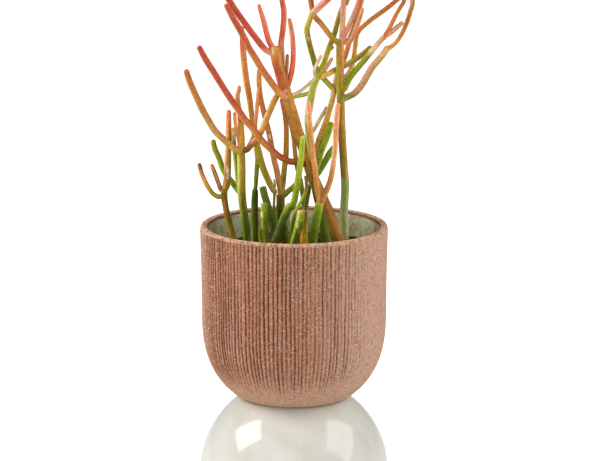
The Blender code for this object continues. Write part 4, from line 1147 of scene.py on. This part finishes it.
# %% The thread that swells
grow("stem_middle_thread", [
    shoot([(-16, -5, -22, 1.5), (-16, -5, 0, 1.2), (-17.5, -5, 12, 1.2), (-18, -5, 19, 1.2),
        (-17.5, -5, 27, 1.3), (-17.3, -5, 31, 2.4), (-18.8, -5, 33, 2.7), (-23, -5, 41.4, 2.9),
        (-26.8, -5, 50.3, 3.0), (-29.7, -4, 59.4, 3.0), (-31.8, -3, 68.4, 2.9), (-33.4, -3, 76, 2.5),
        (-34.2, -3, 81.5, 1.9), (-34.6, -2, 90.5, 1.8), (-33.4, -2, 102.5, 1.8), (-32.3, -2, 114, 1.8),
        (-31.3, -2, 126, 1.6)], """
        -22 green green fern, 5 leaf leaf green, 27 olive khaki lime, 33 tan tan khaki, 42 pear olive khaki,
        70 pear khaki, 78 pear khaki ochre, 87 peach bronze gold, 100 pink orange,
        126 salmon orange amber""", rings="103 0.7 brown"),
    shoot([(-18.5, -5, 32, 0.9), (-17, -6, 37, 0.9), (-18, -6, 43, 0.9)], """
        32 lime leaf green, 43 lime lime leaf"""),
])

# %% The kinked twig
grow("stem_middle_kinked", [
    shoot([(-4, -48, -22, 2.0), (-3.5, -48, -7, 2.0), (-2, -48, 6.5, 2.0), (-1, -48, 17, 2.2),
        (2.5, -47, 24, 1.6), (7, -46, 32, 1.6), (10.5, -45, 40, 1.6), (11, -45, 47, 1.6),
        (10, -45, 54, 1.4)], """
        -22 pine, 2 fern pine, 10 green fern pine, 16 lichen fern pine, 24 moss lime fern,
        35 moss leaf fern, 42 olive drab olive, 49 olive drab, 54 brown drab"""),
])

# %% The stub at the front
grow("stub_front_middle", [
    shoot([(-1, -56, -22, 3.4), (-1, -56, -12, 3.5), (0.5, -56, -2.5, 3.6), (3, -56, 6.5, 3.6),
        (5.3, -56, 15.5, 3.6), (6.5, -56, 25, 3.4)], """
        -22 celery moss khaki, -8 lime pine, 10 lime pine, 17 celery green fern, 24 celery lime moss""",
        tip="cut", cap="pink", rings="17 0.7 celery",
        marks="6 0.4 2.5 0.25 olive, 12 -0.3 4.0 0.15 celery"),
])

# %% The yellow stem
grow("stem_yellow", [
    shoot([(9, -18, -22, 3.5), (9, -18, -11, 3.5), (9.3, -18, 0, 3.4), (9.5, -18, 8, 3.0),
        (10, -18, 17, 2.6), (11.3, -18, 26, 2.3), (13, -18, 35, 2.2), (13.3, -18, 41, 2.1)], """
        -22 olive ochre olive, -8 gold yellow ochre, 2 ochre olive khaki, 16 moss drab olive,
        25 fern drab fern, 38 fern pine, 41 ash ash olive""", tip="cut", cap="ash", rings="16 0.9 cream"),
    shoot([(10, -18, 15, 2.1), (8.5, -16, 25, 2.1), (7.2, -12, 34, 2.1), (5.8, -8, 42, 2.1),
        (3.4, 0.5, 49.5, 2.1), (1.8, 7, 57, 2.0), (0.6, 8, 67, 2.0), (-0.3, 9, 76, 1.9),
        (-1.8, 10.5, 84.5, 1.9), (-4.4, 12, 95.5, 1.8), (-7.3, 12.5, 107, 1.6)], """
        14 pine, 32 pine pine drab, 46 drab moss olive, 62 ochre gold, 90 gold bronze ochre,
        110 gold bronze olive"""),
])

# %% The pair at the front
grow("stem_front_pair", [
    shoot([(17, -32, -22, 4.0), (17, -32, -8, 4.0), (18.2, -32, 1.5, 4.0), (20, -32, 10.5, 4.0),
        (21.6, -32, 19.5, 4.0), (23, -32, 27, 3.9)], """
        -22 pine fern green, 4 fern fern green, 18 green green lime, 25 lime, 28 rose beige rose""",
        tip="node"),
    shoot([(22.5, -32, 24, 2.7), (23, -30, 31, 2.7), (21.3, -29, 37.5, 2.7), (20.1, -28, 46.5, 2.7),
        (18.8, -27, 55.5, 2.6), (17.4, -26, 64.5, 2.5), (16.4, -26, 73.5, 2.5), (15.5, -25, 82.5, 2.4),
        (14.5, -25, 91.5, 2.4), (13.7, -25, 100.5, 2.4), (13.1, -24, 109.5, 2.4),
        (12.8, -24, 117.2, 2.0)], """
        24 gold tan gold, 45 bronze orange tan, 65 bronze orange peach, 91 ochre bronze gold,
        100 peach orange peach, 119 peach salmon pink""", rings="56 0.8 brown, 97 0.8 amber"),
    shoot([(23, -32, 24, 2.6), (26, -31.5, 31, 2.6), (29.2, -31, 38, 2.6), (32.4, -30, 47, 2.5),
        (34.2, -29, 56, 2.5), (35.3, -28, 64.5, 2.5), (36.3, -27, 73.5, 2.5), (37, -26, 82.5, 2.4),
        (37.2, -26, 92, 2.4), (37.8, -25, 100.5, 2.4), (38.3, -25, 109, 2.3), (39.5, -25, 115.5, 2.0)], """
        24 brown rust gold, 36 brown amber tan, 50 amber amber tan, 66 cream orange peach,
        85 gold orange peach, 105 peach salmon peach, 117 peach salmon""",
        rings="48 0.8 brown, 90 0.8 brown"),
])

# %% The curved stem on the right
grow("stem_right_curved", [
    shoot([(29, -8, -22, 4.4), (29, -8, -13, 4.4), (27, -8, -2, 3.8), (25, -8, 8.5, 3.4),
        (23, -8, 17.5, 3.3), (20.7, -8, 25.5, 3.2), (19.2, -8, 33, 3.2), (18.3, -8, 42, 3.2),
        (18, -8, 51.5, 3.2), (16.5, -8, 60.5, 3.1), (15.2, -8, 69.5, 3.1), (14, -8, 78, 3.1),
        (12.8, -8, 88, 3.1), (12.5, -8, 97, 3.2), (13.4, -8, 106, 3.3), (14.8, -8, 115, 3.3),
        (16.5, -8, 124, 3.3), (19.3, -8, 132.8, 3.2), (21.3, -8, 137, 3.0), (26.4, -3, 146.9, 2.6),
        (30, 0, 156.9, 2.5), (33.2, 3, 165.5, 2.5), (36.3, 4.5, 173.4, 2.4), (38.7, 7, 182.4, 2.3),
        (41.3, 9, 191, 2.3), (44.3, 9, 197.5, 2.3), (47.5, 9, 202, 2.3), (51.5, 9, 224, 2.1)], """
        -22 pine pine moss, -4 fern, 16 fern fern pine, 30 drab khaki olive, 60 drab olive,
        68 lichen moss olive, 92 lichen moss olive, 128 lichen lime tan, 138 pear moss, 150 pear moss khaki,
        172 khaki moss olive, 186 tan olive khaki, 205 tan bronze celery, 224 tan bronze tan""",
        rings="134 1.2 chalk, 100 0.9 olive, 196 0.9 brown"),
    shoot([(20, -8, 134, 2.6), (25, -4, 136, 2.6), (30.7, 1, 137, 2.6), (36.5, 15, 138, 2.6),
        (45.5, 18, 141.5, 2.6), (54.3, 16.5, 147, 2.6), (63.3, 14.5, 154, 2.5), (69.5, 12.5, 160, 2.3)], """
        130 chalk peach gold, 145 khaki khaki pear, 155 khaki olive, 163 moss olive""",
        rings="148 0.8 brown"),
    shoot([(20, -8, 134, 1.6), (18.5, -9, 139, 1.6), (18.3, -9, 143, 1.6), (21, -9, 149, 1.6),
        (24.5, -7, 155.5, 1.5)], """
        133 pink rose tan, 145 tan chalk rose, 156 peach peach rose"""),
    shoot([(30, 0, 157.5, 1.6), (33, 3, 159.5, 1.6), (35.5, 5, 161, 1.5)], """
        156 pear pear olive, 162 pear pear olive"""),
    shoot([(18.2, -8, 46, 2.9), (18.5, -7, 58, 2.9), (19.5, -6.5, 66, 2.9), (21, -6, 72, 2.9),
        (22.7, -4, 78, 2.9), (26, -2, 86.5, 2.9), (29.2, 0, 95.5, 2.8), (31.7, 3, 104, 2.7),
        (34.2, 7, 112, 2.6), (35.7, 13, 120, 2.5), (37.4, 18, 128, 2.4), (39.7, 24, 136, 2.4),
        (43.5, 24, 143, 2.4), (47, 20, 153, 2.3), (49.5, 16.5, 162.5, 2.3), (51.5, 15, 166.5, 2.2),
        (55, 15, 174.5, 2.2), (57.8, 15, 182.5, 2.1), (60, 15, 190, 2.1), (60.9, 15, 195, 1.9)], """
        45 gold gold pear, 60 gold gold celery, 80 celery gold khaki, 100 cream ochre, 108 cream ochre,
        121 chalk peach olive, 140 gold peach, 155 orange orange salmon, 170 salmon,
        195 salmon coral salmon""", rings="78 0.9 brown, 112 0.9 brown"),
    shoot([(36, 13, 120, 2.5), (34.6, 13, 121.8, 2.4), (29.9, 12.5, 127.1, 2.4), (24.5, 12, 133.4, 2.4),
        (19.3, 11, 142.2, 2.4), (17.3, 9, 150.2, 2.5), (15.2, 7, 157.5, 2.5), (12.2, 2, 171, 2.6),
        (11.6, 0, 177.5, 2.6), (13.4, -3, 184.5, 2.5), (16, -6, 191.5, 2.8), (23, -7, 199, 3.1),
        (29.8, -8, 205.5, 3.1), (39, -9, 214, 3.0), (47, -9, 227, 2.9), (51.3, -9, 241, 2.7)], """
        118 lichen pear tan, 127 lime pear tan, 137 lime green, 150 leaf green moss, 164 lime olive bronze,
        175 pear khaki olive, 184 celery khaki tan, 193 celery tan, 198 pink salmon tan, 208 pink red rose,
        241 pink coral tan""", rings="150 0.8 brown, 195 0.9 chalk", marks="169 0.2 2.6 0.28 chalk brown"),
    shoot([(18.2, -8, 46, 2.8), (20, -9.5, 54, 2.9), (22.2, -10, 61, 2.9), (24.8, -10, 70, 2.9),
        (28.4, -9, 79, 2.9), (31.5, -9, 88, 2.9), (33.3, -8, 95.5, 2.7)], """
        45 fern green, 60 fern green lime, 75 green green lime, 92 moss green lime,
        96 olive drab olive""", rings="70 0.8 pine"),
    shoot([(18, -8, 45, 2.8), (23, -5, 50.5, 2.9), (28.5, -3, 59.5, 2.9), (31, -2, 64, 2.9),
        (33.8, -1, 68, 2.8), (36.3, 0, 71.5, 2.5)], """
        45 green fern green, 60 lime green fern, 72 lime green fern"""),
    shoot([(13.3, -8, 82, 1.8), (17.7, -3, 87, 1.8), (23, 2, 95.5, 1.8), (27.5, 6, 102.5, 1.8),
        (29.5, 9, 106, 1.6)], """
        82 cream gold ochre, 94 chalk chalk peach, 106 cream gold khaki"""),
])

# %% The thick leaning stem
grow("stem_thick_leaning", [
    shoot([(40, 8, -22, 5.0), (40, 8, -16, 5.0), (37.1, 8, -7, 5.0), (33.8, 8, 2, 5.1),
        (30.4, 7.5, 11.5, 5.1), (26.3, 7, 21, 5.1), (22, 6, 30.5, 5.2), (18, 5.5, 39.5, 5.3),
        (15, 5, 48.5, 5.3), (12, 4, 58, 5.3), (7.6, 3, 72, 5.2), (2.7, 2, 86, 5.2), (0.3, 1.5, 95, 5.2),
        (-2.5, 1, 104, 5.2), (-5.3, 0, 113.5, 5.1), (-7.9, 0, 122.5, 5.1), (-10.4, 0, 132, 5.1),
        (-12.8, 0, 141, 5.0), (-15.4, 0, 150, 4.9), (-17, 0, 162.5, 4.4)], """
        -22 brown brown bronze, -6 ochre bronze, 12 ochre bronze brown, 30 ochre bronze brown,
        46 gold bronze, 66 olive ochre olive, 86 bronze bronze gold, 115 amber bronze gold,
        140 brick brick bronze, 153 amber amber gold, 163 peach gold amber""", tip="node",
        rings="74 1.1 brown, 104 1.0 brown",
        marks="122 0.0 1.6 0.24 pink rust, 137 -0.3 12.0 0.14 rust, 159 -0.5 4.0 0.26 chalk"),
    shoot([(13, 4, 54, 2.9), (5, -1, 57, 2.9), (-4.5, -6, 59, 2.9), (-10, -9, 62.3, 2.9),
        (-15, -12, 66, 2.9), (-20.3, -14, 71.3, 3.0), (-29.2, -16, 80.3, 3.0), (-36, -17, 90, 3.0),
        (-43.5, -18, 99, 3.0), (-49.5, -18, 108, 3.0), (-55.7, -18, 117, 3.0), (-61.6, -18, 126.1, 2.9),
        (-67.3, -19, 135.8, 2.9), (-72.6, -20, 144.7, 2.9), (-78.3, -20, 153.9, 2.8),
        (-84.5, -20, 166, 2.4)], """
        54 olive brown wine, 62 gold amber crimson, 90 gold amber garnet, 115 amber brick garnet,
        150 brick brick red, 166 garnet garnet red""", rings="82 0.9 brown, 118 0.9 brown, 145 0.9 brown"),
    shoot([(-15, 0, 153, 2.8), (-21, -1, 156.8, 2.8), (-26.1, -2, 160, 2.8), (-32.9, -3, 168.7, 2.8),
        (-39.5, -4, 177.6, 2.8), (-45.8, -4, 186.5, 2.8), (-52, -5, 195.7, 2.7), (-58, -5, 205, 2.8),
        (-68, -5, 220, 2.7), (-78, -5, 236, 2.4)], """
        152 pink pink salmon, 157 pink salmon coral, 163 garnet red, 200 garnet garnet red,
        236 brick garnet red""", rings="163 0.9 brown, 196 0.9 wine"),
    shoot([(-16, 0, 156, 2.5), (-20, 2, 162, 2.6), (-22.8, 3, 168, 2.6), (-25.2, 4, 177, 2.5),
        (-27.4, 4, 186, 2.3), (-30.2, 4, 195, 1.8), (-31.3, 4, 199.6, 1.4)], """
        156 amber amber rust, 164 coral coral salmon, 201 coral coral salmon""", rings="180 0.8 coral"),
    shoot([(-12.5, 2, 128, 2.3), (-11, 4.5, 139, 2.4), (-10.6, 6, 150, 2.4), (-11.2, 5, 159, 2.6),
        (-11.5, 4, 163.5, 2.7), (-10.9, 3, 168.5, 2.6), (-9.8, 2, 177, 2.6), (-9, 1, 186, 2.6),
        (-9.1, 0, 195, 2.6), (-10.5, 0, 204, 2.5), (-13, 0, 224, 2.5), (-16, 0, 243, 2.3)], """
        128 peach pink, 155 salmon salmon pink, 163 coral salmon, 170 rust red salmon, 200 rust red salmon,
        243 red red salmon""", rings="170 0.9 brown, 205 0.9 garnet"),
    shoot([(-8.5, 0, 126, 1.8), (-7, -1, 134, 1.8), (-6.3, -1, 145, 1.8), (-5.6, -1, 155.4, 1.6)], """
        125 rust brown tan, 140 amber rust tan, 152 amber rust tan, 157 garnet umber ochre"""),
    shoot([(-7.5, 0, 121, 2.3), (-4.2, 1, 130, 2.3), (-1.8, 1, 140, 2.4), (-0.7, 1, 150, 2.3),
        (-0.7, 1, 159, 2.3), (-1.1, 1, 168, 2.3), (-2.3, 1, 177, 2.2), (-4.3, 1, 187.5, 1.6)], """
        120 coral amber brown, 132 crimson coral, 148 crimson coral, 160 salmon coral salmon,
        175 peach coral salmon, 189 peach orange salmon""", rings="160 0.8 red"),
    shoot([(-5.5, -1, 115.5, 3.0), (-9.3, -5, 118.3, 3.1), (-14.8, -9.5, 123.8, 3.1),
        (-22, -14, 134.4, 3.1), (-28.4, -17, 144.2, 3.1), (-33.6, -19, 153.5, 3.0),
        (-39.2, -20, 162.9, 2.9), (-43.4, -21, 171.8, 2.9), (-48, -22, 181, 2.9), (-53.6, -23, 191, 2.8),
        (-60.3, -24, 204, 2.3)], """
        114 pear tan pink, 120 khaki gold salmon, 130 gold amber red, 155 bronze amber brick,
        180 rust brick red, 204 rust brick red""", rings="136 0.9 brown, 170 0.9 brown"),
    shoot([(-6, 0, 115, 1.9), (-0.8, 2, 117.7, 1.8), (5.8, 3, 121.1, 1.6), (11.4, 4, 125.5, 1.6),
        (16.3, 5, 129.6, 1.7), (21.7, 6, 133.2, 1.8), (25.8, 7, 137.2, 1.8), (30.1, 7.5, 143.5, 1.8),
        (34.4, 7.5, 150.8, 1.6)], """
        113 cream cream gold, 124 cream cream gold, 140 chalk peach tan, 152 peach orange"""),
    shoot([(-5.5, 0, 112, 2.0), (0, 2, 116, 2.0), (6, 3, 117, 2.0), (12.5, 3, 119, 2.0),
        (15.5, 3, 121, 1.8)], """
        110 cream celery pear, 121 celery pear olive"""),
])

# %% The stem at the right edge
grow("stem_right_edge", [
    shoot([(46, 22, -22, 3.8), (45.8, 22, -11.5, 3.8), (45.2, 21, 1.5, 3.8), (45.5, 20, 13.5, 3.8),
        (46.2, 18.5, 27.5, 3.8), (46, 17, 38, 3.8), (45.5, 16.5, 45, 3.6), (45, 16, 51, 3.6),
        (44.2, 15, 63, 3.5), (43.5, 14, 74, 3.5), (42.7, 12.5, 88, 3.5), (42.2, 11, 102, 3.6),
        (41.6, 9, 121, 3.6), (41.3, 8, 139, 3.6), (41.2, 6.5, 157.5, 3.6), (41.8, 5, 165, 3.5)], """
        -22 lichen, -4 lichen sage lichen, 30 sage, 38 sage, 42 drab olive tan, 60 drab olive,
        82 brown olive bronze, 100 khaki olive bronze, 120 pear olive bronze, 140 pear bronze tan,
        165 pear bronze gold""", tip="node", rings="76 0.9 drab, 104 0.9 brown, 140 0.9 khaki",
        marks="92 0.2 2.5 0.25 tan"),
    shoot([(43, 13.5, 81, 1.8), (47.2, 13.5, 82.5, 1.7)], """
        80 green green fern, 83 green green pear"""),
    shoot([(41, 5, 163, 2.5), (37, -2, 167.5, 2.5), (32, -6, 173, 2.5), (27.5, -5, 178.5, 2.5),
        (23, -2, 184, 2.5), (18.6, 1, 188.5, 2.5), (16, 2, 196, 2.5), (14.9, 2, 203.5, 2.5),
        (10.6, 2, 230, 2.3)], """
        163 rose olive, 176 rose bronze olive, 195 rose amber olive, 205 red garnet, 230 red""",
        rings="186 0.8 brown"),
    shoot([(42, 5, 163, 2.5), (42.5, 3, 168, 2.5), (43, 1, 177, 2.5), (43.5, 0, 190, 2.5),
        (44, 0, 204, 2.5), (45, 0, 244, 2.3)], """
        163 chalk salmon amber, 185 chalk salmon tan, 205 pink rose tan, 244 pink rose tan""",
        rings="192 0.8 rose, 222 0.8 brown"),
    shoot([(42.5, 5, 164, 2.3), (44.4, 3, 169, 2.3), (46.2, 2, 174, 2.3), (50.6, 1, 184, 2.3),
        (54.2, 0, 193, 2.3), (57.7, 0, 203.5, 2.3), (63.8, 0, 239, 2.1)], """
        163 pink salmon brick, 185 chalk salmon brick, 205 chalk coral rust, 239 pink coral rust""",
        rings="188 0.8 brown"),
    shoot([(43, 5, 163, 1.8), (48, 6, 166, 1.8), (50.6, 8, 171, 1.8), (54.2, 8, 180.5, 1.8),
        (57.7, 8, 190.5, 1.8), (60.9, 8, 202, 1.8), (66.5, 8, 229, 1.6)], """
        163 tan, 185 brown tan beige, 229 amber tan celery"""),
    shoot([(41.4, 8, 130, 2.2), (45.5, 11, 132, 2.2), (50, 18, 136, 2.2), (52.9, 23, 143, 2.2),
        (54, 24, 150.5, 2.2), (55, 24, 158.5, 2.2), (55.8, 23, 166.5, 2.2), (57.6, 22, 171.5, 2.2),
        (59.8, 21, 174.7, 2.2), (67.8, 19, 182, 2.2), (76.7, 17, 189, 2.2), (85.6, 15, 196, 2.2),
        (91.3, 14, 201, 2.1), (110, 10, 218, 1.9)], """
        130 chalk peach pear, 146 peach gold khaki, 168 orange ochre tan, 185 amber bronze tan,
        200 red amber tan, 218 garnet amber tan""", rings="172 0.8 brown"),
    shoot([(41.5, 9, 119, 2.7), (45.4, 8, 123, 2.7), (49.8, 7, 132, 2.7), (56, 6, 140.5, 2.7),
        (63, 5, 149, 2.7), (69.2, 5, 157, 2.7), (72.7, 5, 161, 2.4), (76.2, 4, 165.5, 2.3),
        (80.6, 4, 170, 2.3), (86, 5, 173.5, 2.2), (92, 6, 178.5, 2.2), (97.7, 7, 183, 1.9)], """
        118 lime green celery, 140 leaf leaf green, 152 celery moss, 158 cream cream tan,
        166 chalk orange bronze, 178 chalk peach amber, 183 pink peach orange"""),
    shoot([(79.8, 4, 168.2, 2.1), (82.1, 3.5, 172.6, 2.0), (85.8, 3, 179.6, 1.9), (90.1, 2, 188.6, 1.9),
        (94.5, 2, 196.6, 1.9), (98, 1, 203.3, 1.9), (101.6, -3, 222, 1.8)], """
        168 salmon coral tan, 185 salmon amber bronze, 205 rust rust tan, 222 amber rust tan""",
        rings="186 0.8 brown"),
    shoot([(41.8, 10, 111, 3.0), (46, 8, 114, 3.0), (50, 7, 116, 3.0), (54.4, 5, 119, 3.1),
        (58.8, 4, 124, 3.1), (62.3, 3, 129.4, 3.1), (66.1, 2, 136.7, 3.1), (70.2, 2, 143.4, 3.1),
        (76.2, 2, 150.5, 3.0), (80.6, 2, 156, 2.9), (84, 2, 162, 2.8)], """
        110 lichen lichen sage, 115 sage olive sage, 122 peach rose moss, 140 peach rose leaf,
        152 peach tan moss, 162 gold peach gold""", rings="129 0.9 brown"),
    shoot([(84, 2, 160, 2.4), (87, 2, 161.6, 2.1), (90.8, 1, 165.2, 1.9), (94, 1, 169.8, 1.9),
        (97, 1, 175.1, 2.0), (99.3, 0, 180.6, 2.1), (101.6, 0, 187, 2.2), (103.5, 0, 194, 2.2),
        (105.2, 0, 203.5, 2.3), (105.8, 0, 248, 2.2)], """
        158 peach gold, 170 tan amber tan, 188 rose brown bronze, 205 pink amber olive,
        215 pink orange bronze, 248 salmon coral amber""", rings="184 0.8 brown, 207 0.9 brown"),
])

# %% [markdown]
# ## The last measure
#
# The dressed part has to fill the same box as the solids, or one of them is wrong. Both boxes are measured,
# and the largest difference is printed.

# %% Measure and finish
dressed_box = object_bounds()
apart = [abs(a - b) for solid, dressed in zip(solid_box, dressed_box) for a, b in zip(solid, dressed)]
print("largest difference of the two boxes in mm:", round(max(apart) / MM, 2))
